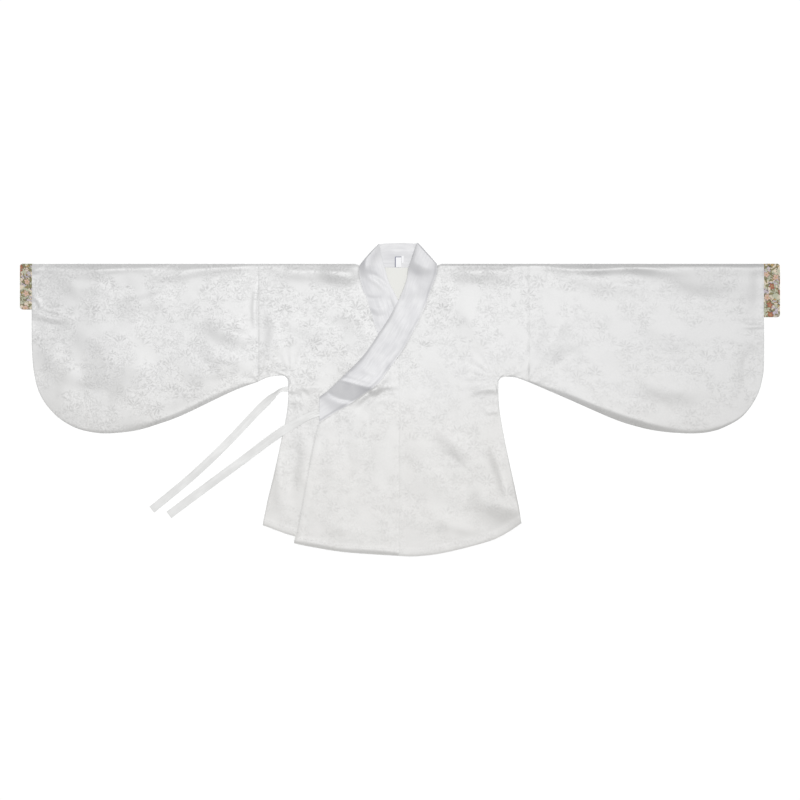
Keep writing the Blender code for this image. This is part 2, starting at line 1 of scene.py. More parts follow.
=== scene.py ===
"""Crossed-collar hanfu jacket of white satin jacquard, laid flat on a pale table with its front up.

Sizes are in millimetres and are scaled to metres when a mesh is made. +X is to the right of someone who
looks down at the jacket, +Y runs from the hem to the collar and +Z is up from the table. Left and right in
the names are the wearer's, so the right-hand pieces lie on the -X side.
"""

import math
from collections import namedtuple

import bmesh
import bpy
import numpy as np
from mathutils import Matrix, Vector, noise


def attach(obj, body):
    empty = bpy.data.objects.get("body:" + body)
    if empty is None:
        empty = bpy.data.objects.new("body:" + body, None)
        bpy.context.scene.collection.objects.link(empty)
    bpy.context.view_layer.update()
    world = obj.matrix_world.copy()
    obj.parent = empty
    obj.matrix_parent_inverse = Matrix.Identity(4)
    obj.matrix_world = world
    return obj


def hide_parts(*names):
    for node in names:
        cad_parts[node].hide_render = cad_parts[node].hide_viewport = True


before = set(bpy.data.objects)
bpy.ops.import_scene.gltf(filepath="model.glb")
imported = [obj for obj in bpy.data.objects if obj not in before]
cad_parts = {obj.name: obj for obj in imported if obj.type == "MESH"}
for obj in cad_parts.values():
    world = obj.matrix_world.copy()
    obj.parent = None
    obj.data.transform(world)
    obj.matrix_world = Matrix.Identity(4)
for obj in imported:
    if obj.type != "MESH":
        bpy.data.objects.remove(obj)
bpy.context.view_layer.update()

# ---------------------------------------------------------------- table, light and camera
# The jacket lies on a white laminate table. One wide bank of lights hangs far over it, almost overhead
# and a little towards the collar, and the white room fills the shadows.
MM = 0.001
TABLE_SPAN = 7000.0
TABLE_DROP = 0.3            # the table's face lies this far under the cloth
TABLE_WHITE = "#FCFCFC"
ROOM_WHITE = "#FFFFFF"
ROOM_STRENGTH = 0.27
BANK_SPREAD = 34.0          # degrees that the bank of lights covers, seen from the table
BANK_FROM = (0.09, 0.10, 1.0)
BANK_STRENGTH = 2.5
CAMERA_HEIGHT = 6000.0
VIEW_WIDTH = 1896.0         # what the camera sees across, on the table
VIEW_CENTRE = (0.0, -1.2)


def linear(hex_colour, alpha=1.0):
    """An sRGB hex colour as linear numbers."""
    values = [int(hex_colour[index:index + 2], 16) / 255.0 for index in (1, 3, 5)]
    return (*[value / 12.92 if value <= 0.04045 else ((value + 0.055) / 1.055) ** 2.4
              for value in values], alpha)


def set_inputs(tree, node, inputs):
    """Give a node's sockets a value or a link; a node among the values stands for its first output."""
    for key, value in inputs.items():
        if isinstance(value, bpy.types.Node):
            value = value.outputs[0]
        if isinstance(value, bpy.types.NodeSocket):
            tree.links.new(value, node.inputs[key])
        else:
            node.inputs[key].default_value = value


def add_node(tree, kind, inputs=None, **settings):
    """Add a node with its settings, its values and its links."""
    node = tree.nodes.new("ShaderNode" + kind)
    for name, value in settings.items():
        setattr(node, name, value)
    set_inputs(tree, node, inputs or {})
    return node


def new_material(name):
    """A material with its shader and its output; the caller sets and links the shader's sockets."""
    material = bpy.data.materials.new(name)
    material.use_nodes = True
    return material, material.node_tree, material.node_tree.nodes["Principled BSDF"]


# White table laminate: pressed melamine, an even matt white with a faint broad gloss.
table_laminate, tree, shader = new_material("white_table_laminate")
set_inputs(tree, shader, {"Base Color": linear(TABLE_WHITE), "Roughness": 0.75, "IOR": 1.45})

table = bmesh.new()
bmesh.ops.create_grid(table, x_segments=1, y_segments=1, size=TABLE_SPAN / 2 * MM)
bmesh.ops.translate(table, vec=(0.0, 0.0, -TABLE_DROP * MM), verts=table.verts[:])
table_mesh = bpy.data.meshes.new("table")
table.to_mesh(table_mesh)
table.free()
table_mesh.materials.append(table_laminate)
table_top = bpy.data.objects.new("table", table_mesh)
bpy.context.scene.collection.objects.link(table_top)

room = bpy.data.worlds.new("white_room")
room.use_nodes = True
set_inputs(room.node_tree, room.node_tree.nodes["Background"],
           {"Color": linear(ROOM_WHITE), "Strength": ROOM_STRENGTH})
bpy.context.scene.world = room
bpy.context.scene.view_settings.view_transform = "Standard"

bank_light = bpy.data.lights.new("light_bank", "SUN")
bank_light.angle = math.radians(BANK_SPREAD)
bank_light.energy = BANK_STRENGTH
bank = bpy.data.objects.new("light_bank", bank_light)
bank.rotation_euler = (-Vector(BANK_FROM)).to_track_quat("-Z", "Y").to_euler()
bpy.context.scene.collection.objects.link(bank)

camera_data = bpy.data.cameras.new("camera")
camera_data.lens = camera_data.sensor_width * CAMERA_HEIGHT / VIEW_WIDTH
camera_data.clip_end = 50.0
camera = bpy.data.objects.new("camera", camera_data)
camera.location = (VIEW_CENTRE[0] * MM, VIEW_CENTRE[1] * MM, CAMERA_HEIGHT * MM)
bpy.context.scene.collection.objects.link(camera)
bpy.context.scene.camera = camera

# ---------------------------------------------------------------- body halves
# Each half of the body is one length of white satin jacquard, cut with its front and back in one and
# folded at the shoulder. It is machine-sewn down the side and under the arm, and left open at the neck,
# where the collar band goes on; the hem is turned in and slip-stitched by hand.
CLOTH_WALL = 0.6            # the satin with the slack of its turnings
NET = 4.2                   # spacing of the net that lets the cloth bend
NET_SNAP = 0.4              # a net line this close to a point runs through it
OUTLINE_STEP = 3.4          # least distance between two points of an outline
UNDERARM_ROOM = 9.0         # straight stretch beside the narrow corners under the arms
EDGE_ROWS = (0.5, 1.2, 2.0)     # widths of the rows that follow every edge
BACK_MIDDLE = 0.35          # height of the back's middle over the table
BACK_LIFT = 1.0             # the most that a crease lifts it
RIM_HEIGHT = 1.7            # where the front's edge meets the fold or the seam
RIM_OUT = 0.3               # how far the fold swells past the cut's outline
BODY_CLEAR = 1.6            # least height of the front's middle over the back's
FOLD_ROLL = 7.5             # width over which the front rolls down to the fold at the top
SIDE_ROLL = 2.8             # and to a sewn side
LEAST_ROLL = 1.0            # the least width to which a pressed place narrows a roll
SIDE_CRISP = 0.92           # share of the drop that a side leaves out, as its turnings stiffen it
FOLD_SWELL = 1.5            # how much the cloth stands up beside the fold, where it was not pressed
SWELL_PLACE = 9.0           # how far below the fold that is highest
SWELL_SPREAD = 7.0
SEAM_DIP = 0.5              # the valley at a seam between two pieces
BAND_DIP = 0.9              # and along the collar band, whose seam draws the cloth in
CENTRE_DIP = 0.22           # the centre seam is pressed open and nearly level
DIP_REACH = 2.6             # how far a dip or a hem's drop reaches
HEM_TURN = 17.0             # depth of the turned hem, which is three cloths thick
HEM_RISE = 0.35
HEM_ROLL = 1.2              # drop of the hem's folded edge
BODY_HEM_ROLL = HEM_ROLL * 0.4      # less at the body's hem, which was pressed flatter than the overlaps'
EDGE_DROP = 0.35            # the same for a free edge, which was pressed flat
FRONT_RIGHT = 2.9           # height of the right front's middle
FRONT_LEFT = 4.3            # the left front lies on the inner overlap
LAYER = 0.95                # least distance between the middles of two cloths that touch
CREASE_FADE = 0.35          # share of a crease's length over which each of its ends fades
GATHER_BARE = 14.0          # gathers fade in over this distance from their centre
BACK_CALM = 2.0             # the back lies flat for this width along its edges,
BACK_FADE = 20.0            # and its creases fade in over this one
SHARP_TURN = 0.8            # radians; a pressed edge that turns by more is drawn sharp
CENTRE_NEAR = 0.5           # points this near the centre seam make way for the one on it
BORDER_NEAR = 0.8           # a border edge this near a joined run is closed onto the back
WELD = 0.02

SHOULDER_Y = 321.0
NECK_CORNER = 4.0
CENTRE_X = -3.0
SEAM_RIGHT_X = -336.5
SEAM_LEFT_X = 303.5
UNDERARM_RIGHT = [(-336.5, 43.0), (-318.0, 52.0), (-299.0, 56.5), (-275.0, 57.5), (-265.0, 49.0)]
SIDE_RIGHT = [
    (-265.0, 49.0), (-263.5, 18.0), (-267.0, -30.0), (-281.0, -100.0), (-298.5, -181.0),
    (-312.5, -238.0), (-324.5, -297.5),
]
UNDERARM_LEFT = [(303.5, 43.0), (280.0, 52.0), (256.0, 55.5), (240.0, 53.0), (232.5, 44.0)]
SIDE_LEFT = [
    (232.5, 44.0), (232.5, 14.0), (235.0, -25.0), (247.0, -95.0), (262.0, -165.0),
    (279.0, -245.0), (287.0, -293.0),
]
HEM_FRONT_RIGHT = [(-324.5, -297.5), (-251.0, -323.5), (-142.0, -347.0), (CENTRE_X, -361.0)]
HEM_FRONT_LEFT = [
    (287.0, -293.0), (256.0, -314.0), (218.0, -333.0), (161.0, -349.5), (95.0, -364.5),
    (38.0, -371.0), (CENTRE_X, -370.0),
]
HEM_BACK_RIGHT = [(-324.5, -297.5), (-251.0, -320.5), (-142.0, -344.0), (CENTRE_X, -358.0)]
HEM_BACK_LEFT = [(287.0, -293.0), (218.0, -329.0), (95.0, -357.0), (CENTRE_X, -358.0)]
# Where the collar band is sewn on: round the left front's neck and down its slant, round the right
# front's, and along the back.
NECK_OUTER = [
    (87.5, 317.0), (87.0, 304.5), (83.0, 289.0), (72.5, 262.0), (61.0, 224.5), (44.0, 188.5), (27.0, 157.0),
    (6.0, 118.5), (-27.5, 73.0), (-55.0, 36.5), (-114.0, -6.0), (-154.0, -29.5), (-191.0, -53.5),
]
NECK_INNER = [
    (-94.5, 317.0), (-96.0, 303.0), (-92.5, 284.0), (-87.0, 260.5), (-78.5, 239.0), (-66.5, 201.0),
    (-53.5, 162.5), (-33.0, 124.5), (CENTRE_X, 79.5), (28.5, 41.5), (66.5, 6.0), (109.0, -25.0),
    (185.0, -77.0),
]
NECK_BACK = [
    (87.5, 317.0), (57.0, 315.0), (24.0, 314.0), (CENTRE_X, 313.5), (-31.0, 314.0), (-64.0, 315.0),
    (-94.5, 317.0),
]

JOINED = "joined"           # a fold, or a seam that closes front and back together
SEWN = "sewn"               # an edge that another piece is sewn to
HEM = "hem"                 # a turned and stitched edge

Run = namedtuple("Run", "kind points size")         # size: width of a roll, depth of a dip, or drop of a hem
Crease = namedtuple("Crease", "path rise left right")
Swell = namedtuple("Swell", "size rise seed")       # size: about how wide its hills are
Gather = namedtuple("Gather", "centre reach count rise start")      # count: pleats in a whole turn
Roll = namedtuple("Roll", "centre reach width")     # adds to the rolls near it, or narrows them below 0

# Creases left by smoothing the jacket out by hand and by the pull of the arm seams. A rise below 0 is a
# trough; left and right are how far it spreads on either side of its path.
CREASES_RIGHT = [
    Crease([(-285, 34), (-225, 28), (-182, 31)], 1.5, 6, 8),
    Crease([(-285, 22), (-232, 19)], 1.1, 4, 5),
    Crease([(-280, -2), (-225, -6)], 0.9, 7, 7),
    Crease([(-330, 303), (-230, 303), (-150, 301), (-70, 297)], 3.4, 9, 20),
    Crease([(-200, 304), (-160, 299), (-130, 294), (-85, 286)], 4.2, 22, 20),
    Crease([(-300, 210), (-225, 168), (-150, 160)], 1.6, 30, 24),
    Crease([(-230, 120), (-170, 150), (-120, 205)], -1.3, 22, 30),
    Crease([(-120, 230), (-80, 150), (-20, 70)], 1.0, 14, 24),
    Crease([(-325, 90), (-300, 150), (-310, 230)], 1.6, 14, 20),
    Crease([(-297, -120), (-282, -195), (-290, -275)], 1.5, 14, 20),
    Crease([(-262, -90), (-255, -160), (-268, -230)], -1.2, 16, 16),
    Crease([(-245, -60), (-220, -130), (-240, -240)], 0.9, 20, 18),
]
CREASES_LEFT = [
    Crease([(240, 22), (205, 24), (172, 14)], 1.5, 6, 8),
    Crease([(240, -27), (200, -32)], 1.1, 5, 6),
    Crease([(244, 5), (215, 4), (190, -10)], -1.0, 7, 7),
    Crease([(90, 300), (170, 302), (240, 303), (300, 305)], 3.2, 9, 20),
    Crease([(110, 240), (170, 190), (215, 120)], 1.5, 28, 30),
    Crease([(96, 300), (112, 220), (70, 120)], 1.4, 14, 24),
    Crease([(88, -52), (118, -95), (172, -150)], 2.0, 20, 22),
    Crease([(95, -125), (125, -168), (160, -205)], -2.0, 18, 18),
    Crease([(150, -40), (205, -85), (235, -150)], -1.6, 24, 22),
    Crease([(196, -60), (232, -150), (268, -262)], 2.2, 20, 14),
    Crease([(150, -232), (218, -236), (296, -214)], 3.4, 30, 40),
    Crease([(196, -262), (290, -258), (384, -240)], 3.0, 22, 28),
    Crease([(20, -60), (60, -150), (52, -260)], 1.1, 32, 36),
    Crease([(60, -270), (140, -302), (205, -300)], 1.4, 24, 18),
]
CREASES_BACK = [
    Crease([(-240, 120), (-180, 40), (-150, -80)], 0.7, 26, 30),
    Crease([(-280, -60), (-200, -160), (-190, -280)], 0.6, 30, 26),
    Crease([(210, 130), (150, 30), (160, -90)], 0.7, 30, 26),
    Crease([(240, -80), (170, -170), (120, -300)], 0.6, 26, 34),
    Crease([(-260, 250), (-140, 225), (-60, 250)], 0.6, 24, 30),
    Crease([(60, 240), (160, 215), (270, 245)], 0.6, 30, 24),
]
GATHERS_RIGHT = [Gather((-258, 50), 60, 17, 0.42, 0.2)]
GATHERS_LEFT = [Gather((228, 46), 64, 19, 0.5, 0.5)]
SWELLS_BODY = [Swell(150, 1.3, 2.0), Swell(66, 0.7, 5.0), Swell(24, 0.2, 9.0)]
SWELLS_BACK = [Swell(120, 0.35, 31.0)]
SEAM_UNEVEN = [Swell(26, 0.8, 71.0)]
FOLD_UNEVEN = [Swell(80, 0.9, 75.0)]
ROLLS_RIGHT = [Roll((-225, 321), 90, -3.5)]     # where the shoulder fold is pressed sharper
ROLLS_LEFT = [Roll((190, 321), 110, -3.5)]


def curve(points, steps=6):
    """Points of a Catmull-Rom curve through the given ones, with so many steps between two."""
    rows = np.asarray(points, float)
    rows = np.vstack([2 * rows[0] - rows[1], rows, 2 * rows[-1] - rows[-2]])
    made = []
    for before, start, end, after in zip(rows, rows[1:], rows[2:], rows[3:]):
        for t in np.arange(steps) / steps:
            made.append(0.5 * (2 * start + (end - before) * t
                               + (2 * before - 5 * start + 4 * end - after) * t ** 2
                               + (3 * start - before - 3 * end + after) * t ** 3))
    return np.array(made + [rows[-2]])


def cut_at_centre(line):
    """Split a curve where it crosses the centre seam; both halves keep the point on the seam."""
    index = next(i for i in range(len(line) - 1)
                 if (line[i, 0] - CENTRE_X) * (line[i + 1, 0] - CENTRE_X) <= 0 and line[i, 0] != line[i + 1, 0])
    share = (CENTRE_X - line[index, 0]) / (line[index + 1, 0] - line[index, 0])
    crossing = line[index] + share * (line[index + 1] - line[index])
    head = [point for point in line[:index + 1] if abs(point[0] - CENTRE_X) > CENTRE_NEAR]
    tail = [point for point in line[index + 1:] if abs(point[0] - CENTRE_X) > CENTRE_NEAR]
    return np.array(head + [crossing]), np.array([crossing] + tail)


def reach_along(line):
    """How far along a line each of its points lies."""
    return np.concatenate([[0.0], np.cumsum(np.linalg.norm(np.diff(line, axis=0), axis=1))])


def points_along(line, marks):
    """The points of a line at these distances from its start."""
    reached = reach_along(line)
    return np.column_stack([np.interp(marks, reached, column) for column in line.T])


def near_path(places, path):
    """For each place: its distance from a path, its side of it (left is positive), and its share along."""
    path = np.asarray(path, float)
    lengths = np.linalg.norm(np.diff(path, axis=0), axis=1)
    reached = reach_along(path)
    nearest = np.full(len(places), np.inf)
    side, share = np.zeros(len(places)), np.zeros(len(places))
    for start, end, length, before in zip(path, path[1:], lengths, reached):
        along = (end - start) / length
        run = np.clip((places - start) @ along, 0.0, length)
        away = places - start - run[:, None] * along
        distance = np.hypot(away[:, 0], away[:, 1])
        closer = distance < nearest
        nearest = np.where(closer, distance, nearest)
        side = np.where(closer, along[0] * away[:, 1] - along[1] * away[:, 0], side)
        share = np.where(closer, (before + run) / reached[-1], share)
    return nearest, side, share


def smooth_step(values):
    values = np.clip(values, 0.0, 1.0)
    return values * values * (3.0 - 2.0 * values)


def creased(places, creases):
    """Sum of the ridges and troughs; each has its own spread on either side and fades at both ends."""
    total = np.zeros(len(places))
    for crease in creases:
        away, side, share = near_path(places, curve(crease.path, 5))
        spread = np.where(side > 0, crease.left, crease.right)
        total += (crease.rise * smooth_step(np.minimum(share, 1.0 - share) / CREASE_FADE)
                  * np.exp(-(away / spread) ** 2))
    return total


def swelled(places, swells):
    """Low uneven swells that stay in a cloth that was smoothed by hand."""
    return sum(swell.rise * np.array([noise.noise(Vector((x / swell.size, y / swell.size, swell.seed)))
                                      for x, y in places]) for swell in swells)


def gathered(places, gathers):
    """Pleats that fan out from where the cloth is eased into a seam."""
    total = np.zeros(len(places))
    for gather in gathers:
        away = places - np.asarray(gather.centre, float)
        distance = np.hypot(away[:, 0], away[:, 1])
        angle = np.arctan2(away[:, 1], away[:, 0])
        wave = np.sin(gather.count * angle + gather.start + 0.6 * np.sin(3.0 * angle + distance / 30.0))
        near = smooth_step(distance / GATHER_BARE) * np.exp(-(distance / gather.reach) ** 2)
        total += gather.rise * wave * near
    return total


def wrinkled(places, middle, creases, gathers, swells):
    """Height of a cloth before its edges are shaped."""
    return middle + creased(places, creases) + gathered(places, gathers) + swelled(places, swells)


def joined_paths(runs):
    return [run.points for run in runs if run.kind == JOINED]


def rolled(places, height, runs, rolls=()):
    """Lower a front towards its rims, its seams and its hems, which are round, dipped and thick."""
    wider = np.zeros(len(places))
    for roll in rolls:
        away = places - np.asarray(roll.centre, float)
        wider += roll.width * np.exp(-(np.hypot(*away.T) / roll.reach) ** 2)
    for run in runs:
        away = near_path(places, run.points)[0]
        if run.size == FOLD_ROLL:
            # Where the fold rolls wider, the swell beside it is higher, wider and further away.
            stands = (0.55 + 0.9 * swelled(places, FOLD_UNEVEN)) * (1.0 + wider / 5.0)
            beside = (away - SWELL_PLACE - 0.6 * wider) / (SWELL_SPREAD + 0.4 * wider)
            height = height + FOLD_SWELL * stands * np.exp(-beside ** 2)
        if run.kind == JOINED:
            inward = 1.0 - np.clip(away / np.maximum(run.size + wider, LEAST_ROLL), 0.0, 1.0)
            # Where a side's roll isn't widened, its stiff turnings leave out most of the drop.
            crisp = SIDE_CRISP * np.exp(-np.maximum(wider, 0.0) / 2.0)
            depth = 1.0 if run.size == FOLD_ROLL else 1.0 - crisp
            height = height - depth * (height - RIM_HEIGHT) * inward ** 2
        elif run.kind == SEWN:
            pull = 0.75 + 0.9 * swelled(places, SEAM_UNEVEN)
            height = height - run.size * pull * np.exp(-(away / DIP_REACH) ** 2)
        else:
            turned = smooth_step((HEM_TURN - away) / 2.5)
            drop = run.size * (1.0 + wider / 6.0)
            height = height + HEM_RISE * turned - drop * np.exp(-(away / (DIP_REACH + wider / 3.0)) ** 2)
    return height


def thinned(points, corner_room):
    """Drop points that crowd a run's ends or the point before them; the last one is left out."""
    kept = [points[0]]
    for point in points[1:-1]:
        to_ends = min(np.linalg.norm(point - points[0]), np.linalg.norm(point - points[-1]))
        if to_ends > corner_room and np.linalg.norm(point - kept[-1]) > OUTLINE_STEP:
            kept.append(point)
    return np.array(kept)


def cloth_layer(runs, unfold=None, corner_room=OUTLINE_STEP):
    """A flat cloth inside closed runs, with rows along its edge, a square net, and its cut as a UV map."""
    corners = np.concatenate([thinned(run.points, corner_room) for run in runs])
    layer = bmesh.new()
    face = layer.faces.new([layer.verts.new((x * MM, y * MM, 0.0)) for x, y in corners])
    face.normal_update()
    if face.normal.z < 0.0:
        face.normal_flip()
    for row in EDGE_ROWS:
        bmesh.ops.inset_region(layer, faces=[face], thickness=row * MM, use_boundary=True,
                               use_even_offset=True)
    for axis in range(2):
        low, high = corners[:, axis].min(), corners[:, axis].max()
        for line in range(math.ceil(low / NET), math.floor(high / NET) + 1):
            place, normal = Vector((0.0, 0.0, 0.0)), Vector((0.0, 0.0, 0.0))
            place[axis], normal[axis] = line * NET * MM, 1.0
            bmesh.ops.bisect_plane(layer, geom=layer.verts[:] + layer.edges[:] + layer.faces[:],
                                   dist=NET_SNAP * MM, plane_co=place, plane_no=normal)
    cut = layer.loops.layers.uv.new("cut")
    for face in layer.faces:
        for loop in face.loops:
            x, y = loop.vert.co.xy
            loop[cut].uv = (x, y) if unfold is None else (x, 2.0 * unfold * MM - y)
    return layer


def places_of(layer):
    return np.array([vert.co.xy for vert in layer.verts]) / MM


def raise_layer(layer, heights):
    for vert, height in zip(layer.verts, heights):
        vert.co.z = height * MM


def outward(edges):
    """For each point of some border edges, the level direction that points out of the cloth."""
    directions = {}
    for edge in edges:
        start, end = (vert.co for vert in edge.verts)
        across = Vector((end.y - start.y, start.x - end.x, 0.0)).normalized()
        if across.dot(edge.link_faces[0].calc_center_median() - (start + end) / 2) > 0.0:
            across = -across
        for vert in edge.verts:
            directions[vert] = directions.get(vert, Vector()) + across
    return {vert: direction.normalized() for vert, direction in directions.items()}


def step_down(front, border, shift, height):
    """Extrude a border; shift gives each point's level move, and height its new height."""
    made = bmesh.ops.extrude_edge_only(front, edges=border)["geom"]
    moved = {}
    for vert in (item for item in made if isinstance(item, bmesh.types.BMVert)):
        above = next(edge.other_vert(vert) for edge in vert.link_edges if edge.other_vert(vert) in shift)
        moved[vert] = shift[above]
    for vert, move in moved.items():
        vert.co += move
        vert.co.z = height(vert.co.z)
    rim = [item for item in made if isinstance(item, bmesh.types.BMEdge)
           and all(vert in moved for vert in item.verts)]
    return rim, moved


def close_onto_back(front, back, runs):
    """Round the joined border of a front down to its back and weld the two."""
    border_edges = [edge for edge in front.edges if edge.is_boundary]
    middles = np.array([(edge.verts[0].co + edge.verts[1].co).xy for edge in border_edges]) / 2 / MM
    away = np.min([near_path(middles, path)[0] for path in joined_paths(runs)], axis=0)
    border = [edge for edge, distance in zip(border_edges, away) if distance < BORDER_NEAR]
    push = {vert: direction * RIM_OUT * MM for vert, direction in outward(border).items()}
    rim, moved = step_down(front, border, push, lambda z: (z + BACK_MIDDLE * MM) / 2)
    step_down(front, rim, {vert: -move for vert, move in moved.items()}, lambda z: BACK_MIDDLE * MM)
    bmesh.ops.reverse_faces(back, faces=back.faces[:])
    joined = bpy.data.meshes.new("back")
    back.to_mesh(joined)
    front.from_mesh(joined)
    bpy.data.meshes.remove(joined)
    back.free()
    bmesh.ops.remove_doubles(front, verts=front.verts[:], dist=WELD * MM)


def settle(name, form, materials, wall, node):
    """Make an object of a bmesh, give it its wall, and let it stand for its CAD node."""
    mesh = bpy.data.meshes.new(name)
    for edge in form.edges:
        edge.smooth = not edge.is_boundary and edge.calc_face_angle(0.0) < SHARP_TURN
    form.to_mesh(mesh)
    form.free()
    for material in materials:
        mesh.materials.append(material)
    piece = bpy.data.objects.new(name, mesh)
    bpy.context.scene.collection.objects.link(piece)
    mesh.shade_smooth()
    if wall:
        solid = piece.modifiers.new("wall", "SOLIDIFY")
        solid.thickness = wall * MM
        solid.offset = 0.0
        solid.use_rim = True
        solid.material_offset = len(materials) - 1   # its inner side takes the last material
    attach(piece, "root")
    if node:
        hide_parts(node)
    return piece


def run_area(*outlines):
    """Flat area of closed outlines, in square metres."""
    total = 0.0
    for runs in outlines:
        x, y = np.concatenate([run.points[:-1] for run in runs]).T * MM
        total += abs(np.dot(x, np.roll(y, -1)) - np.dot(y, np.roll(x, -1))) / 2
    return total


def cut_in_mm(tree):
    """Nodes for the place of a point on its cut cloth, in millimetres."""
    cut_map = add_node(tree, "UVMap", uv_map="cut")
    return add_node(tree, "VectorMath", {0: cut_map.outputs["UV"], "Scale": 1000.0}, operation="SCALE")


def drifted(tree, place, spacing, reach):
    """Nodes that move a place about softly, so that a pattern on it isn't regular."""
    drift = add_node(tree, "TexNoise", {"Vector": place, "Scale": 1 / spacing, "Detail": 1.0})
    drift = add_node(tree, "VectorMath", {0: drift.outputs["Color"], 1: (0.5, 0.5, 0.5)}, operation="SUBTRACT")
    return add_node(tree, "VectorMath", {0: drift, 1: (reach, reach, 0.0), 2: place}, operation="MULTIPLY_ADD")


def scattered(tree, place, spacing, randomness):
    """Nodes for flowers scattered over a cloth: each one's random numbers, then the distance from its heart,
    the direction, and how far up the cloth."""
    cells = add_node(tree, "TexVoronoi", {"Vector": place, "Scale": 1 / spacing, "Randomness": randomness},
                     voronoi_dimensions="2D")
    chance = add_node(tree, "SeparateColor", {0: cells.outputs["Color"]})
    spoke = add_node(tree, "VectorMath", {0: place, 1: cells.outputs["Position"]}, operation="SUBTRACT")
    spoke_xy = add_node(tree, "SeparateXYZ", {0: spoke})
    away = add_node(tree, "VectorMath", {0: spoke}, operation="LENGTH")
    angle = add_node(tree, "Math", {0: spoke_xy.outputs[1], 1: spoke_xy}, operation="ARCTAN2")
    return chance, away.outputs["Value"], angle, spoke_xy.outputs[1]


# Satin jacquard: polyester filament woven white on white, a glossy satin ground with duller sprays of leaves
# and rosettes in patches. The yarns are far finer than can be drawn, so the weave shows as a soft grain
# of 1 to 5 mm; the sprays are 15 to 38 mm across, with leaves 7 to 17 mm long.
JACQUARD_COOL = "#CACACA"
# The cool white is the cloth's own; the warm one is a painted warm light cast, mixed in low on the body.
JACQUARD_WARM = "#C4C3C1"
JACQUARD_ROUGHNESS = 0.37
# Of each size of spray: the spacing, the leaves round a stem, how far out the leaves' middles are, half a
# leaf's length and half its width.
FIGURES = (
    (41.0, 8, 10.5, 8.5, 2.9),
    (25.0, 6, 6.6, 5.6, 2.2),
    (15.0, 5, 3.9, 3.5, 1.7),
)
white_jacquard, tree, shader = new_material("white_satin_jacquard")
cut_mm = cut_in_mm(tree)
bent = drifted(tree, cut_mm, 24.0, 15.0)
figure, figure_tone = 0.0, 0.0
for spacing, count, reach, half_length, half_width in FIGURES:
    chance, away, angle, up = scattered(tree, bent, spacing, 0.85)
    angle = add_node(tree, "Math", {0: angle, 1: count / math.tau, 2: chance.outputs[1]},
                     operation="MULTIPLY_ADD")
    beside = add_node(tree, "Math", {0: angle, 1: 0.5}, operation="PINGPONG")
    beside = add_node(tree, "Math", {0: beside, 1: away}, operation="MULTIPLY")
    along = add_node(tree, "Math", {0: away, 1: reach}, operation="SUBTRACT")
    along = add_node(tree, "Math", {0: along, 1: along}, operation="MULTIPLY")
    width = add_node(tree, "Math", {0: along, 1: -half_width / half_length ** 2, 2: half_width},
                     operation="MULTIPLY_ADD")
    leaf = add_node(tree, "Math", {0: beside, 1: -math.tau / count, 2: width}, operation="MULTIPLY_ADD")
    leaf = add_node(tree, "Math", {0: leaf, 1: 0.55}, operation="MULTIPLY", use_clamp=True)
    upward = add_node(tree, "Math", {0: up, 1: away}, operation="DIVIDE")
    lowest = add_node(tree, "Math", {0: chance, 1: 1.2, 2: -1.15}, operation="MULTIPLY_ADD")
    kept = add_node(tree, "Math", {0: upward, 1: lowest}, operation="GREATER_THAN")
    leaf = add_node(tree, "Math", {0: leaf, 1: kept}, operation="MULTIPLY")
    leaf_tone = add_node(tree, "MapRange", {"Value": chance.outputs[2], "To Min": -0.10, "To Max": 0.07})
    figure = add_node(tree, "Math", {0: leaf, 1: figure}, operation="MAXIMUM")
    figure_tone = add_node(tree, "Math", {0: leaf, 1: leaf_tone, 2: figure_tone}, operation="MULTIPLY_ADD")

# The sprays stand in patches with plain satin between them, and fine stalks and buds fill a patch.
patches = add_node(tree, "TexNoise", {"Vector": cut_mm, "Scale": 1 / 66.0, "Detail": 2.0, "Roughness": 0.5})
patch = add_node(tree, "MapRange", {"Value": patches.outputs["Fac"], "From Min": 0.38, "From Max": 0.49})
buds = add_node(tree, "TexNoise", {"Vector": bent, "Scale": 1 / 4.6, "Detail": 1.0})
bud_tone = add_node(tree, "MapRange", {"Value": buds.outputs["Fac"], "From Min": 0.35, "From Max": 0.65,
                                       "To Min": -0.07, "To Max": 0.055})
figure_tone = add_node(tree, "Math", {0: figure_tone, 1: bud_tone}, operation="ADD")
figure_tone = add_node(tree, "Math", {0: figure_tone, 1: patch}, operation="MULTIPLY")
# Painted light: the figure's contrast is painted weaker on the left sleeve and low on the body, where the
# satin's floats catch more light.
cut_xy = add_node(tree, "SeparateXYZ", {0: cut_mm})
painted_light_share = add_node(tree, "Math", {0: cut_xy.outputs[1], 1: 1 / 500.0, 2: 0.62}, operation="MULTIPLY_ADD")
painted_light_share = add_node(tree, "Math", {0: cut_xy, 1: -1 / 900.0, 2: painted_light_share}, operation="MULTIPLY_ADD")
painted_light_share = add_node(tree, "MapRange",
                 {"Value": painted_light_share, "From Min": 0.5, "From Max": 1.1, "To Min": 0.5, "To Max": 1.1})
figure_tone = add_node(tree, "Math", {0: figure_tone, 1: painted_light_share}, operation="MULTIPLY")
figure_mark = add_node(tree, "Math", {0: figure, 1: patch}, operation="MULTIPLY")
figure_mark = add_node(tree, "Math", {0: figure_mark, 1: painted_light_share}, operation="MULTIPLY")
grain = add_node(tree, "TexNoise", {"Vector": cut_mm, "Scale": 1 / 5.0, "Detail": 3.0})
grain_tone = add_node(tree, "MapRange", {"Value": grain.outputs["Fac"], "From Min": 0.3, "From Max": 0.7,
                                         "To Min": 0.98, "To Max": 1.02})
tone = add_node(tree, "Math", {0: figure_tone, 1: grain_tone}, operation="ADD")
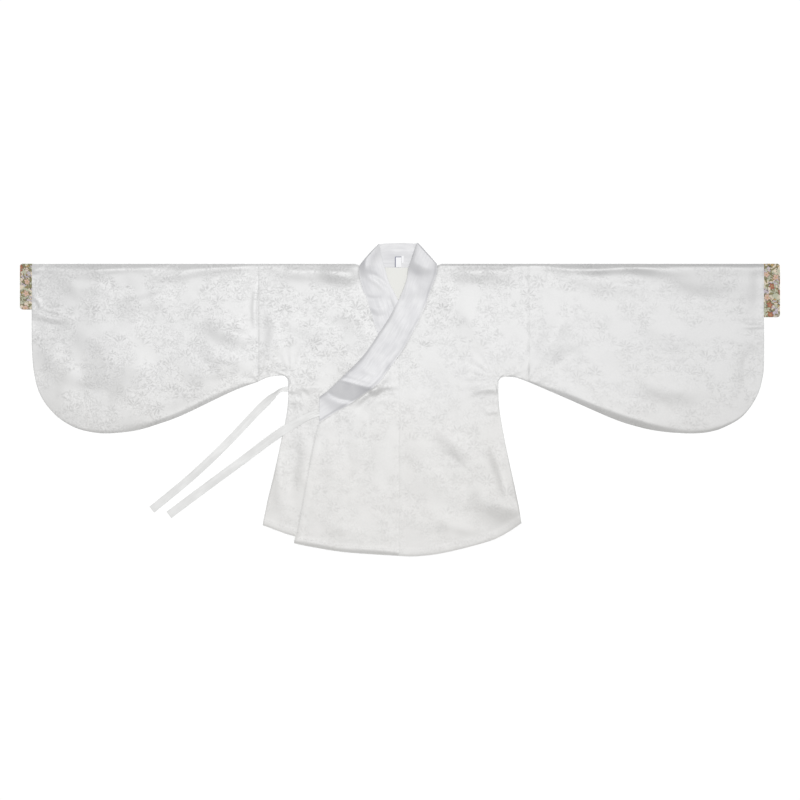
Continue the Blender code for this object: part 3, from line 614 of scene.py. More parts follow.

# Painted shade: the white is drawn a little greyer out along the sleeves, more so on the left.
# A painted warm light cast, broken up by a soft drift, turns it warmer down the body.
outward_mm = add_node(tree, "Math", {0: cut_xy}, operation="ABSOLUTE")
outward_painted_shade = add_node(tree, "MapRange", {"Value": outward_mm, "From Min": 330.0, "From Max": 860.0,
                                           "To Min": 0.0, "To Max": -0.06})
tone = add_node(tree, "Math", {0: tone, 1: outward_painted_shade}, operation="ADD")
leftward_painted_shade = add_node(tree, "MapRange", {"Value": cut_xy, "From Min": -100.0, "From Max": 850.0,
                                            "To Min": -0.01, "To Max": -0.16})
tone = add_node(tree, "Math", {0: tone, 1: leftward_painted_shade}, operation="ADD")
tint_drift = add_node(tree, "TexNoise", {"Vector": cut_mm, "Scale": 1 / 170.0})
lean = add_node(tree, "Math", {0: cut_xy.outputs[1], 1: -1 / 320.0, 2: tint_drift.outputs["Fac"]},
                operation="MULTIPLY_ADD")
painted_warm_cast = add_node(tree, "MapRange", {"Value": lean, "From Min": 0.1, "From Max": 1.1})
tint = add_node(tree, "Mix", {"Factor": painted_warm_cast, 6: linear(JACQUARD_COOL), 7: linear(JACQUARD_WARM)},
                data_type="RGBA")
toned = add_node(tree, "VectorMath", {0: tint.outputs[2], "Scale": tone}, operation="SCALE")
gloss = add_node(tree, "Math", {0: figure_mark, 1: 0.12, 2: JACQUARD_ROUGHNESS}, operation="MULTIPLY_ADD")
relief = add_node(tree, "Math", {0: grain.outputs["Fac"], 1: 0.5, 2: figure_mark}, operation="MULTIPLY_ADD")
cloth_bump = add_node(tree, "Bump", {"Height": relief, "Strength": 0.35, "Distance": 0.0002})
set_inputs(tree, shader, {"Base Color": toned, "Roughness": gloss, "Normal": cloth_bump, "IOR": 1.62,
                          "Sheen Weight": 0.05, "Sheen Roughness": 0.4})

# Reverse of the jacquard: inside the jacket the satin's floats lie behind, so the same cloth is matt there
# and a little warmer, with the same fine grain.
REVERSE_WHITE = "#DFDFDB"
jacquard_reverse, tree, shader = new_material("white_jacquard_reverse")
grain = add_node(tree, "TexNoise", {"Vector": cut_in_mm(tree), "Scale": 1 / 5.0, "Detail": 3.0})
reverse_bump = add_node(tree, "Bump", {"Height": grain.outputs["Fac"], "Strength": 0.2, "Distance": 0.0002})
set_inputs(tree, shader, {"Base Color": linear(REVERSE_WHITE), "Roughness": 0.6, "IOR": 1.55,
                          "Normal": reverse_bump})

outer_neck, outer_slant = cut_at_centre(curve(NECK_OUTER))
inner_neck, inner_slant = cut_at_centre(curve(NECK_INNER))
back_neck_left, back_neck_right = cut_at_centre(curve(NECK_BACK))


def straight(*points, step=8.0):
    """A run through corner points, with a point about every step along it."""
    made = [np.asarray(points[0], float)]
    for start, end in zip(points, points[1:]):
        start, end = np.asarray(start, float), np.asarray(end, float)
        count = max(1, round(np.linalg.norm(end - start) / step))
        made += [start + (end - start) * index / count for index in range(1, count + 1)]
    return np.array(made)


def body_runs(seam_x, underarm, side, hem, neck):
    """Outline of one layer of a body half: shoulder, neck, centre, hem, side and underarm."""
    shoulder_end = (neck[0][0] + math.copysign(NECK_CORNER, seam_x), SHOULDER_Y)
    hem_line = curve(hem)
    return [
        Run(JOINED, straight((seam_x, SHOULDER_Y), shoulder_end, neck[0]), FOLD_ROLL),
        Run(SEWN, neck, BAND_DIP),
        Run(SEWN, straight(neck[-1], hem_line[-1]), CENTRE_DIP),
        Run(HEM, hem_line[::-1], BODY_HEM_ROLL),
        Run(JOINED, curve(side)[::-1], SIDE_ROLL),
        Run(JOINED, curve(underarm)[::-1], SIDE_ROLL),
        Run(SEWN, straight(underarm[0], (seam_x, SHOULDER_Y)), SEAM_DIP),
    ]


def lay_back(back, edges, creases):
    """Lay a back on the table, with low creases that fade out towards its edges."""
    places = places_of(back)
    rim = np.min([near_path(places, path)[0] for path in edges], axis=0)
    lift = np.maximum(0.0, creased(places, creases) + swelled(places, SWELLS_BACK))
    raise_layer(back, BACK_MIDDLE + np.minimum(lift, BACK_LIFT) * smooth_step((rim - BACK_CALM) / BACK_FADE))


def body_half(name, node, front_runs, back_runs, front_height):
    """Front and back of a half in one cloth, the front raised by its height function."""
    front = cloth_layer(front_runs, corner_room=UNDERARM_ROOM)
    back = cloth_layer(back_runs, unfold=SHOULDER_Y, corner_room=UNDERARM_ROOM)
    raise_layer(front, front_height(places_of(front)))
    lay_back(back, joined_paths(back_runs), CREASES_BACK)
    close_onto_back(front, back, front_runs)
    piece = settle(name, front, [white_jacquard, jacquard_reverse], CLOTH_WALL, node)
    run_area(front_runs, back_runs)


def right_front_height(places):
    height = wrinkled(places, FRONT_RIGHT, CREASES_RIGHT, GATHERS_RIGHT, SWELLS_BODY)
    return rolled(places, np.maximum(height, BACK_MIDDLE + BODY_CLEAR), right_front_runs, ROLLS_RIGHT)


def left_front_height(places):
    height = wrinkled(places, FRONT_LEFT, CREASES_LEFT, GATHERS_LEFT, SWELLS_BODY)
    return rolled(places, np.maximum(height, FRONT_RIGHT + LAYER), left_front_runs, ROLLS_LEFT)


right_front_runs = body_runs(SEAM_RIGHT_X, UNDERARM_RIGHT, SIDE_RIGHT, HEM_FRONT_RIGHT, inner_neck)
right_back_runs = body_runs(SEAM_RIGHT_X, UNDERARM_RIGHT, SIDE_RIGHT, HEM_BACK_RIGHT, back_neck_right[::-1])
left_front_runs = body_runs(SEAM_LEFT_X, UNDERARM_LEFT, SIDE_LEFT, HEM_FRONT_LEFT, outer_neck)
left_back_runs = body_runs(SEAM_LEFT_X, UNDERARM_LEFT, SIDE_LEFT, HEM_BACK_LEFT, back_neck_left)
body_half("body_right_cloth", "body_right", right_front_runs, right_back_runs, right_front_height)
body_half("body_left_cloth", "body_left", left_front_runs, left_back_runs, left_front_height)

# ---------------------------------------------------------------- overlaps
# The crossed front: a second panel of the same jacquard is sewn to each half at the centre seam. The left
# one crosses on top and ties at the wearer's right; the right one is hidden under it. Both have a turned
# hem and a turned free edge, and a collar band along the slant.
HEM_OUTER = [(CENTRE_X, -370.0), (-66.0, -366.5), (-142.0, -360.0), (-218.0, -347.5), (-251.0, -340.0)]
HEM_INNER = [(CENTRE_X, -361.0), (71.0, -352.0), (142.0, -332.0), (211.0, -302.0)]
OUTER_FREE_EDGE = [
    (-251.0, -340.0), (-237.0, -271.0), (-219.0, -172.0), (-204.0, -96.0), (-197.5, -70.0), (-191.0, -53.5),
]
INNER_FREE_EDGE = [(211.0, -302.0), (199.0, -167.0), (185.0, -77.0)]
CREASES_OUTER = [
    Crease([(-124, -20), (-81, 12), (-48, 27), (0, 34)], 2.3, 4.5, 10),
    Crease([(-112, -34), (-70, 0), (-36, 14), (12, 20)], -1.7, 8, 8),
    Crease([(-92, -26), (-58, -6), (-16, 4)], 1.1, 6, 8),
    Crease([(-62, 44), (-54, 16), (-60, -8)], 1.0, 5, 5),
    Crease([(-42, 42), (-33, 18), (-37, -4)], -0.9, 5, 6),
    Crease([(-170, -70), (-150, -140), (-160, -220)], 0.7, 30, 26),
    Crease([(-110, -60), (-120, -150), (-95, -250)], -0.6, 34, 34),
    Crease([(-60, -40), (-50, -130), (-70, -250)], 0.6, 30, 28),
    Crease([(-220, -270), (-150, -300), (-80, -340)], 0.6, 26, 20),
]
SWELLS_OVERLAP = [Swell(140, 1.0, 14.0), Swell(64, 0.6, 17.0), Swell(24, 0.2, 19.0)]
# The sharp crosswise fold near the ties: its crest, and the hard line at the foot of its steep face.
BUCKLE_CREST = [(-150.0, 47.5), (-136.0, 43.0), (-112.0, 36.0), (-90.0, 29.5), (-74.0, 24.5), (-56.0, 21.5)]
BUCKLE_FOOT = [(-200.0, 26.0), (-181.0, 14.0), (-152.0, 0.0), (-128.0, -3.0), (-105.0, -1.5), (-90.0, 8.5),
               (-78.0, 19.0), (-70.0, 22.0), (-56.0, 20.5)]
BUCKLE_RISE = 11.0
BUCKLE_SLOPE = 88.0         # how far the slope above the crest runs
BUCKLE_PULL = 15.0          # how far the fold draws the overlap's cloth up with it
ROLLS_HEM = [Roll((-200, -352), 55, 5.0), Roll((-64, -368), 60, 7.0)]   # where the hem rolls under
SWELLS_INNER = [Swell(130, 0.25, 23.0)]


def overlap_runs(slant, free_edge, hem):
    """Outline of an overlap: centre seam, hem, free edge and the slant under the collar band."""
    hem_line = curve(hem)
    return [
        Run(SEWN, straight(slant[0], hem_line[0]), CENTRE_DIP),
        Run(HEM, hem_line, HEM_ROLL),
        Run(HEM, curve(free_edge), EDGE_DROP),
        Run(SEWN, slant[::-1], BAND_DIP),
    ]


def overlap(name, node, runs, height):
    """One layer of cloth whose middle follows its height function."""
    layer = cloth_layer(runs)
    raise_layer(layer, height(places_of(layer)))
    piece = settle(name, layer, [white_jacquard, jacquard_reverse], CLOTH_WALL, node)
    run_area(runs)


def buckled(places):
    """The crosswise fold: a long slope up to its crest, then a steep face down to its foot."""
    crest_away, crest_side, share = near_path(places, BUCKLE_CREST)
    foot_away, foot_side, _ = near_path(places, BUCKLE_FOOT)
    above = smooth_step(1.0 - crest_away / BUCKLE_SLOPE)
    face = foot_away / (foot_away + crest_away + 0.01)
    form = np.where(crest_side > 0.0, above, np.where(foot_side > 0.0, face, 0.0))
    return BUCKLE_RISE * (1.0 - 0.6 * share) * form


def drawn_up(places):
    """How much the fold lifts the overlap beside the sewn edge of the band."""
    away, _, share = near_path(places, outer_slant)
    beside = points_along(outer_slant, share * reach_along(outer_slant)[-1])
    return buckled(beside) * np.exp(-(away / BUCKLE_PULL) ** 2)


def outer_overlap_height(places):
    height = (FRONT_LEFT + creased(places, CREASES_OUTER) + drawn_up(places)
              + swelled(places, SWELLS_OVERLAP))
    under = wrinkled(places, FRONT_RIGHT, CREASES_RIGHT, GATHERS_RIGHT, SWELLS_BODY)
    return rolled(places, np.maximum(height, under + LAYER), outer_overlap_runs, ROLLS_HEM)


def inner_overlap_height(places):
    return rolled(places, FRONT_RIGHT + swelled(places, SWELLS_INNER), inner_overlap_runs)


outer_overlap_runs = overlap_runs(outer_slant, OUTER_FREE_EDGE, HEM_OUTER)
inner_overlap_runs = overlap_runs(inner_slant, INNER_FREE_EDGE, HEM_INNER)
overlap("outer_overlap_cloth", "outer_overlap", outer_overlap_runs, outer_overlap_height)
overlap("inner_overlap_cloth", "inner_overlap", inner_overlap_runs, inner_overlap_height)

# ---------------------------------------------------------------- sleeves
# Pipa sleeves, named for the lute whose belly they have: each is one length of the jacquard folded along
# the top, sewn to the body at the upper arm and closed round the belly from the cuff to the arm seam. They
# lie as pressed tubes that still hold some air, and roll over at the belly near the body.
MOUTH_RIGHT_X = -872.0
MOUTH_LEFT_X = 862.0
SLEEVE_RIGHT_BELLY = [
    (-872.0, 211.5), (-871.0, 112.0), (-863.0, 46.0), (-846.0, 1.0), (-815.0, -37.0), (-777.0, -62.5),
    (-739.0, -75.0), (-692.0, -79.5), (-626.0, -72.5), (-569.0, -56.0), (-512.0, -34.5), (-398.0, 20.0),
    (-336.5, 43.0),
]
SLEEVE_LEFT_BELLY = [
    (862.0, 193.5), (862.0, 92.0), (858.0, 49.0), (844.0, 6.0), (812.0, -38.5), (768.0, -65.0),
    (730.0, -76.5), (683.0, -79.5), (616.0, -74.5), (559.0, -62.5), (502.0, -43.5), (389.0, 6.0),
    (303.5, 43.0),
]
SLEEVE_CLEAR = 1.8          # least height of a sleeve's front over its back
SLEEVE_LOFT = 1.6           # how much the middle of a sleeve stands above its rims
SLEEVE_LOFT_REACH = 70.0
SLEEVE_LEVEL = 120.0        # it comes down from the body's height over this length
CREASES_SLEEVE_RIGHT = [
    Crease([(-826, 330), (-848, 306), (-858, 290), (-862, 256)], -2.2, 5, 7),
    Crease([(-872, 300), (-858, 304), (-842, 322)], 1.8, 6, 5),
    Crease([(-880, 250), (-860, 238), (-854, 222), (-850, 204)], 1.3, 5, 5),
    Crease([(-880, 228), (-863, 226), (-856, 206)], -1.3, 6, 5),
    Crease([(-890, 228), (-860, 208), (-836, 196), (-800, 191), (-750, 198)], 1.2, 8, 13),
    Crease([(-862, 226), (-826, 209), (-786, 202)], 0.9, 5, 5),
    Crease([(-866, 218), (-832, 203), (-790, 196)], -0.8, 3, 4),
    Crease([(-880, 196), (-846, 178), (-780, 176)], -1.6, 9, 14),
    Crease([(-810, 272), (-750, 264), (-670, 270)], 2.1, 12, 24),
    Crease([(-680, 224), (-610, 232), (-530, 258)], 2.3, 14, 24),
    Crease([(-610, 296), (-545, 292), (-470, 298)], 1.6, 9, 18),
    Crease([(-600, 302), (-500, 306), (-440, 311), (-340, 318)], 3.2, 7, 15),
    Crease([(-860, 306), (-780, 300), (-740, 300), (-650, 306)], 2.6, 14, 26),
    Crease([(-800, 314), (-665, 312), (-530, 314)], 2.6, 8, 40),
    Crease([(-470, 186), (-412, 162), (-335, 136)], 3.2, 16, 26),
    Crease([(-480, 120), (-420, 96), (-356, 92)], 1.6, 20, 16),
    Crease([(-337, 280), (-346, 220), (-342, 150)], 1.2, 7, 5),
    Crease([(-372, 92), (-430, 66), (-520, 44)], 2.0, 18, 22),
    Crease([(-640, 30), (-720, 10), (-800, 30)], -2.2, 30, 24),
    Crease([(-560, 60), (-640, 80), (-760, 70)], 2.0, 32, 28),
    Crease([(-866, 120), (-800, 80), (-760, 20)], 1.6, 24, 30),
    Crease([(-790, 150), (-700, 140), (-620, 160)], 1.5, 18, 26),
    Crease([(-700, -66), (-560, -44), (-430, 16), (-350, 50)], 3.2, 26, 12),
]
CREASES_SLEEVE_LEFT = [
    Crease([(340, 311), (436, 311), (532, 305)], 2.8, 8, 30),
    Crease([(400, 322), (470, 319), (520, 316), (580, 312), (660, 306)], 3.2, 7, 14),
    Crease([(500, 316), (616, 310), (710, 311), (800, 311), (960, 308)], 2.2, 8, 17),
    Crease([(540, 320), (620, 308), (700, 296), (800, 286), (960, 272)], 3.3, 60, 36),
    Crease([(620, 268), (700, 240), (790, 222)], -1.8, 24, 22),
    Crease([(380, 286), (500, 274), (620, 258)], 1.5, 10, 22),
    Crease([(848, 340), (850, 260), (846, 170)], -1.3, 18, 16),
    Crease([(876, 188), (842, 184), (796, 186)], -0.7, 5, 5),
    Crease([(876, 178), (840, 173), (800, 174)], 0.7, 5, 5),
    Crease([(876, 166), (838, 162), (806, 166)], -0.6, 5, 6),
    Crease([(856, 140), (828, 80), (822, 0)], -1.8, 18, 22),
    Crease([(550, 44), (620, 30), (720, 8)], 2.5, 26, 29),
    Crease([(700, 120), (640, 150), (560, 210)], 1.5, 32, 32),
    Crease([(420, 220), (370, 160), (330, 80)], 1.9, 24, 28),
    Crease([(440, 130), (400, 100), (350, 66)], -1.5, 15, 17),
    Crease([(700, -66), (600, -60), (500, -30), (400, 14), (330, 46)], 4.2, 16, 28),
]
CREASES_SLEEVE_BACK = [
    Crease([(-800, 200), (-600, 160), (-400, 200)], 0.7, 34, 30),
    Crease([(-760, 30), (-640, 60), (-480, 40)], 0.6, 30, 36),
    Crease([(800, 210), (620, 170), (420, 230)], 0.7, 30, 34),
    Crease([(740, 10), (600, 50), (440, 60)], 0.6, 34, 30),
]
ROLLS_SLEEVE_RIGHT = [
    Roll((-500, -32), 120, 6.0), Roll((-690, -78), 90, 4.0), Roll((-400, 10), 60, 2.5),
    Roll((-862, 316), 30, 9.0), Roll((-700, 330), 120, 6.0),
]
ROLLS_SLEEVE_LEFT = [
    Roll((540, -50), 110, 16.0), Roll((380, 10), 60, 6.0), Roll((730, -84), 70, 4.0),
    Roll((440, 330), 80, 10.0), Roll((330, 321), 50, -4.0), Roll((620, 325), 60, -2.5),
    Roll((740, 325), 100, -3.5),
]
GATHERS_SLEEVE_RIGHT = [Gather((-322, 30), 52, 11, 0.6, 1.2)]
GATHERS_SLEEVE_LEFT = [Gather((292, 26), 60, 11, 0.7, 2.2)]
SWELLS_SLEEVE = [Swell(150, 1.0, 41.0), Swell(68, 0.5, 43.0), Swell(24, 0.2, 47.0)]


def sleeve(name, node, seam_x, mouth_x, belly, top_at_seam, creases, gathers, rolls):
    """A flattened pipa sleeve, its front raised from its rims."""
    runs = [
        Run(JOINED, straight((seam_x, SHOULDER_Y), (mouth_x, SHOULDER_Y)), FOLD_ROLL),
        Run(SEWN, straight((mouth_x, SHOULDER_Y), belly[0]), SEAM_DIP),
        Run(JOINED, curve(belly), SIDE_ROLL),
        Run(SEWN, straight(belly[-1], (seam_x, SHOULDER_Y)), SEAM_DIP),
    ]
    front = cloth_layer(runs)
    back = cloth_layer(runs, unfold=SHOULDER_Y)
    places = places_of(front)
    rim = np.min([near_path(places, path)[0] for path in joined_paths(runs)], axis=0)
    ends = np.minimum(np.abs(places[:, 0] - mouth_x), np.abs(places[:, 0] - seam_x))
    along = np.clip(np.abs(places[:, 0] - seam_x) / SLEEVE_LEVEL, 0.0, 1.0)
    middle = (top_at_seam + (FRONT_RIGHT - top_at_seam) * smooth_step(along)
              + SLEEVE_LOFT * (1.0 - np.exp(-rim / SLEEVE_LOFT_REACH)) * smooth_step(ends / SLEEVE_LOFT_REACH))
    height = wrinkled(places, middle, creases, gathers, SWELLS_SLEEVE)
    raise_layer(front, rolled(places, np.maximum(height, BACK_MIDDLE + SLEEVE_CLEAR), runs, rolls))
    lay_back(back, [run.points for run in runs], CREASES_SLEEVE_BACK)
    close_onto_back(front, back, runs)
    piece = settle(name, front, [white_jacquard, jacquard_reverse], CLOTH_WALL, node)
    run_area(runs, runs)


sleeve("sleeve_right_cloth", "sleeve_right", SEAM_RIGHT_X, MOUTH_RIGHT_X, SLEEVE_RIGHT_BELLY, FRONT_RIGHT,
       CREASES_SLEEVE_RIGHT, GATHERS_SLEEVE_RIGHT, ROLLS_SLEEVE_RIGHT)
sleeve("sleeve_left_cloth", "sleeve_left", SEAM_LEFT_X, MOUTH_LEFT_X, SLEEVE_LEFT_BELLY, FRONT_LEFT,
       CREASES_SLEEVE_LEFT, GATHERS_SLEEVE_LEFT, ROLLS_SLEEVE_LEFT)

# ---------------------------------------------------------------- cuffs
# A narrow straight cuff of printed cotton closes the upper part of each sleeve's mouth. It is a doubled
# band, folded at its outer end and sewn to the sleeve at its inner one.
HALF_SPAN = 900.0
CUFF_RIGHT_DEPTH = 107.0
CUFF_LEFT_DEPTH = 125.0
CUFF_CORNER = 4.5           # how far its outer corners are softened
CUFF_STEP = 3.0
CUFF_FRONT = 2.7            # heights of its front's and its back's middle
CUFF_BACK = BACK_MIDDLE + 0.1
CUFF_WALL = 0.8
SWELLS_CUFF = [Swell(34, 0.25, 53.0), Swell(12, 0.08, 57.0)]

# Printed cotton: a plain-weave lawn with a dense meadow of blossoms and leaves, matt, with thin dark
# outlines. Blossoms are up to 16 mm across and leaves 9 to 12 mm long. Its yarns are too fine to show and
# are drawn as a grain of 1.2 mm.
PRINT_GROUND = "#D2C5B1"
PRINT_SAGE = "#B0B29C"
PRINT_LEAF = "#827D59"
PRINT_DARK = "#564C3D"
PRINT_CORAL = "#9C624D"
PRINT_PINK = "#C8A999"
PRINT_GOLD = "#AD9260"
PRINT_LILAC = "#BAB1B8"
PRINT_LEAVES = (            # turn, size of a cell, shift, the two colours that its leaves have
    (0.5, (15.0, 6.0), 11.0, PRINT_LEAF, PRINT_GOLD),
    (1.9, (17.0, 6.5), 47.0, PRINT_LEAF, PRINT_SAGE),
    (2.7, (13.0, 5.5), 71.0, PRINT_LILAC, PRINT_LEAF),
)
printed_cotton, tree, shader = new_material("floral_printed_cotton")
cut_mm = cut_in_mm(tree)
bent = drifted(tree, cut_mm, 18.0, 10.0)
ground_drift = add_node(tree, "TexNoise", {"Vector": cut_mm, "Scale": 1 / 22.0, "Detail": 1.0})
sage_mark = add_node(tree, "MapRange",
                     {"Value": ground_drift.outputs["Fac"], "From Min": 0.50, "From Max": 0.56})
lilac_mark = add_node(tree, "MapRange",
                      {"Value": ground_drift.outputs["Fac"], "From Min": 0.43, "From Max": 0.39})
printed = linear(PRINT_GROUND)
for mark, colour in ((sage_mark, PRINT_SAGE), (lilac_mark, PRINT_LILAC)):
    printed = add_node(tree, "Mix", {"Factor": mark, 6: printed, 7: linear(colour)},
                       data_type="RGBA").outputs[2]
for turn, size, shift, first_colour, second_colour in PRINT_LEAVES:
    turned = add_node(tree, "Mapping", {"Vector": bent, "Location": (shift, shift * 0.6, 0.0),
                                        "Rotation": (0.0, 0.0, turn), "Scale": (*size, 1.0)},
                                        vector_type="TEXTURE")
    cells = add_node(tree, "TexVoronoi", {"Vector": turned, "Scale": 1.0, "Randomness": 0.9},
                     voronoi_dimensions="2D")
    chance = add_node(tree, "SeparateColor", {0: cells.outputs["Color"]})
    kept = add_node(tree, "Math", {0: chance, 1: 0.5}, operation="GREATER_THAN")
    rim = add_node(tree, "Math", {0: cells.outputs["Distance"], 1: 0.42}, operation="LESS_THAN")
    rim = add_node(tree, "Math", {0: rim, 1: kept}, operation="MULTIPLY")
    rim = add_node(tree, "Math", {0: rim, 1: 0.7}, operation="MULTIPLY")
    inside = add_node(tree, "Math", {0: cells.outputs["Distance"], 1: 0.34}, operation="LESS_THAN")
    inside = add_node(tree, "Math", {0: inside, 1: kept}, operation="MULTIPLY")
    second = add_node(tree, "Math", {0: chance.outputs[1], 1: 0.5}, operation="GREATER_THAN")
    leaf_colour = add_node(tree, "Mix", {"Factor": second, 6: linear(first_colour), 7: linear(second_colour)},
                           data_type="RGBA")
    for mark, colour in ((rim, linear(PRINT_DARK)), (inside, leaf_colour.outputs[2])):
        printed = add_node(tree, "Mix", {"Factor": mark, 6: printed, 7: colour}, data_type="RGBA").outputs[2]

# Stems: thin dark lines that wander between the leaves.
stem_field = add_node(tree, "TexNoise", {"Vector": cut_mm, "Scale": 1 / 15.0, "Detail": 1.5, "Distortion": 0.6})
stem_away = add_node(tree, "Math", {0: stem_field.outputs["Fac"], 1: 0.5}, operation="SUBTRACT")
stem_away = add_node(tree, "Math", {0: stem_away}, operation="ABSOLUTE")
stem_mark = add_node(tree, "MapRange",
                     {"Value": stem_away, "From Min": 0.011, "From Max": 0.018, "To Min": 0.8, "To Max": 0.0})
printed = add_node(tree, "Mix", {"Factor": stem_mark, 6: printed, 7: linear(PRINT_DARK)},
                   data_type="RGBA").outputs[2]

# Blossoms: five round petals about a gold heart, brick or pink, each with its thin outline.
chance, away, angle, _ = scattered(tree, bent, 24.0, 0.7)
start = add_node(tree, "Math", {0: chance.outputs[1], 1: math.tau}, operation="MULTIPLY")
angle = add_node(tree, "Math", {0: angle, 1: 2.5, 2: start}, operation="MULTIPLY_ADD")
lobe = add_node(tree, "Math", {0: angle}, operation="COSINE")
lobe = add_node(tree, "Math", {0: lobe}, operation="ABSOLUTE")
reach = add_node(tree, "Math", {0: lobe, 1: 3.6, 2: 4.6}, operation="MULTIPLY_ADD")
depth = add_node(tree, "Math", {0: reach, 1: away}, operation="SUBTRACT")
kept = add_node(tree, "Math", {0: chance.outputs[2], 1: 0.4}, operation="GREATER_THAN")
coral = add_node(tree, "Math", {0: chance, 1: 0.4}, operation="GREATER_THAN")
petal_colour = add_node(tree, "Mix", {"Factor": coral, 6: linear(PRINT_PINK), 7: linear(PRINT_CORAL)},
                        data_type="RGBA")
for least, colour in ((0.0, linear(PRINT_DARK)), (0.8, petal_colour.outputs[2]), (5.2, linear(PRINT_GOLD))):
    mark = add_node(tree, "Math", {0: depth, 1: least}, operation="GREATER_THAN")
    mark = add_node(tree, "Math", {0: mark, 1: kept}, operation="MULTIPLY")
    printed = add_node(tree, "Mix", {"Factor": mark, 6: printed, 7: colour}, data_type="RGBA").outputs[2]
weave = add_node(tree, "TexNoise", {"Vector": cut_mm, "Scale": 1 / 1.2, "Detail": 1.0})
cotton_bump = add_node(tree, "Bump", {"Height": weave.outputs["Fac"], "Strength": 0.3, "Distance": 0.0002})
set_inputs(tree, shader, {"Base Color": printed, "Roughness": 0.75, "IOR": 1.47, "Normal": cotton_bump})


def cuff(name, node, side, mouth_x, depth):
    """The doubled cuff beyond a sleeve's mouth, closed above and below, with softened outer corners."""
    outer_x, low_y = side * HALF_SPAN, SHOULDER_Y - depth
    corner_x = outer_x - side * CUFF_CORNER
    upper_in, lower_in = (mouth_x, SHOULDER_Y), (mouth_x, low_y)
    soft = side * CUFF_CORNER * 0.3
    runs = [
        Run(JOINED, straight(upper_in, (corner_x, SHOULDER_Y), step=CUFF_STEP), SIDE_ROLL),
        Run(HEM, straight((corner_x, SHOULDER_Y), (outer_x - soft, SHOULDER_Y - abs(soft)),
                          (outer_x, SHOULDER_Y - CUFF_CORNER), (outer_x, low_y + CUFF_CORNER),
                          (outer_x - soft, low_y + abs(soft)), (corner_x, low_y), step=CUFF_STEP), EDGE_DROP),
        Run(JOINED, straight((corner_x, low_y), lower_in, step=CUFF_STEP), SIDE_ROLL),
        Run(SEWN, straight(lower_in, upper_in, step=CUFF_STEP), SEAM_DIP),
    ]
    front = cloth_layer(runs)
    back = cloth_layer(runs, unfold=SHOULDER_Y)
    places = places_of(front)
    raise_layer(front, rolled(places, CUFF_FRONT + swelled(places, SWELLS_CUFF), runs))
    raise_layer(back, [CUFF_BACK] * len(back.verts))
    close_onto_back(front, back, runs)
    piece = settle(name, front, [printed_cotton], CUFF_WALL, node)


cuff("cuff_right_cloth", "cuff_right", -1, MOUTH_RIGHT_X, CUFF_RIGHT_DEPTH)
cuff("cuff_left_cloth", "cuff_left", 1, MOUTH_LEFT_X, CUFF_LEFT_DEPTH)

# ---------------------------------------------------------------- collar band
# One long band of stiffened plain satin edges both fronts and the back of the neck. It is folded
# lengthwise, sewn over the raw neck edge, and stands a little puffed where it turns at the neck; near the
# ties the outer stretch buckles into one sharp crosswise fold.
BAND_WALL = 1.1
BAND_OVER_EDGE = 1.2        # how far the band's sewn edge reaches over the cloth
BAND_ACROSS = 24
BAND_STEPS = 18             # rows between two points of its edges
BAND_BACK_MIDDLE = 1.0
BAND_INNER_MIDDLE = 2.45
BAND_OUTER_MIDDLE = 4.7
BAND_CROWN = 0.9            # how much the middle of the band stands above its edges
BAND_BACK_CROWN = 0.5       # and at the back, where it is pressed flatter
BAND_CROWN_REACH = 7.0
BAND_BEND_TOP = 250.0       # below the V its free edge is bent down, fully so
BAND_BEND_RUN = 50.0        # after this length
BAND_FOLD_DROP = 0.9        # how far the free edge of the outer stretch is bent down
BAND_SEAM_DROP = 0.7        # and how far its sewn edge is drawn in
NECK_TURNS = 8
NECK_TURN_INSET = 4.0       # the turns start this far up from the sewn edge
NECK_TURN_BULGE = 0.6
NECK_PUFF_REACH = 62.0
BAND_FREE_OUTER = [
    (40.0, 369.0), (30.0, 336.5), (20.5, 311.5), (15.5, 283.0), (3.5, 250.0), (-13.0, 218.0), (-28.5, 189.5),
    (-48.5, 159.0), (-78.0, 115.0), (-102.0, 86.5), (-139.0, 50.0), (-168.0, 23.0), (-190.5, 6.0),
]
BAND_FREE_INNER = [
    (-49.0, 368.0), (-44.0, 340.0), (-36.0, 312.5), (-30.0, 289.0), (-21.5, 268.0), (-6.0, 238.0),
    (7.0, 195.5), (25.0, 156.5), (48.5, 117.5), (77.0, 82.0), (109.0, 50.0), (144.5, 22.5), (194.5, -18.0),
]
BAND_FREE_BACK = [
    (40.0, 369.0), (24.0, 370.0), (9.5, 370.5), (CENTRE_X, 370.5), (-19.0, 370.0), (-35.0, 369.5),
    (-49.0, 368.0),
]
CREASES_BAND_OUTER = [
    Crease([(-200, 66), (-136, 45.5), (-112, 38.5), (-90, 32), (-74, 27), (-20, 12)], 1.1, 4.0, 2.0),
    Crease([(-200, 73), (-136, 53), (-112, 46), (-90, 39.5), (-74, 34.5), (-20, 20)], 0.9, 3.5, 2.5),
    Crease([(-200, 30), (-160, 2), (-126, -10), (-96, -8)], 1.6, 5, 16),
    Crease([(62, 410), (46, 376), (38, 350), (36, 330), (46, 321), (62, 314), (80, 307), (100, 298)],
           4.2, 70, 18),
    Crease([(10, 330), (30, 292), (38, 250)], -0.6, 16, 18),
    Crease([(-40, 214), (20, 228), (60, 238), (120, 256)], -2.0, 24, 36),
    Crease([(-64, 100), (-42, 84), (-20, 84)], 0.9, 12, 14),
    Crease([(-96, 74), (-66, 62), (-40, 60)], -0.7, 8, 8),
    Crease([(-18, 208), (6, 176), (18, 150)], 0.7, 16, 18),
]
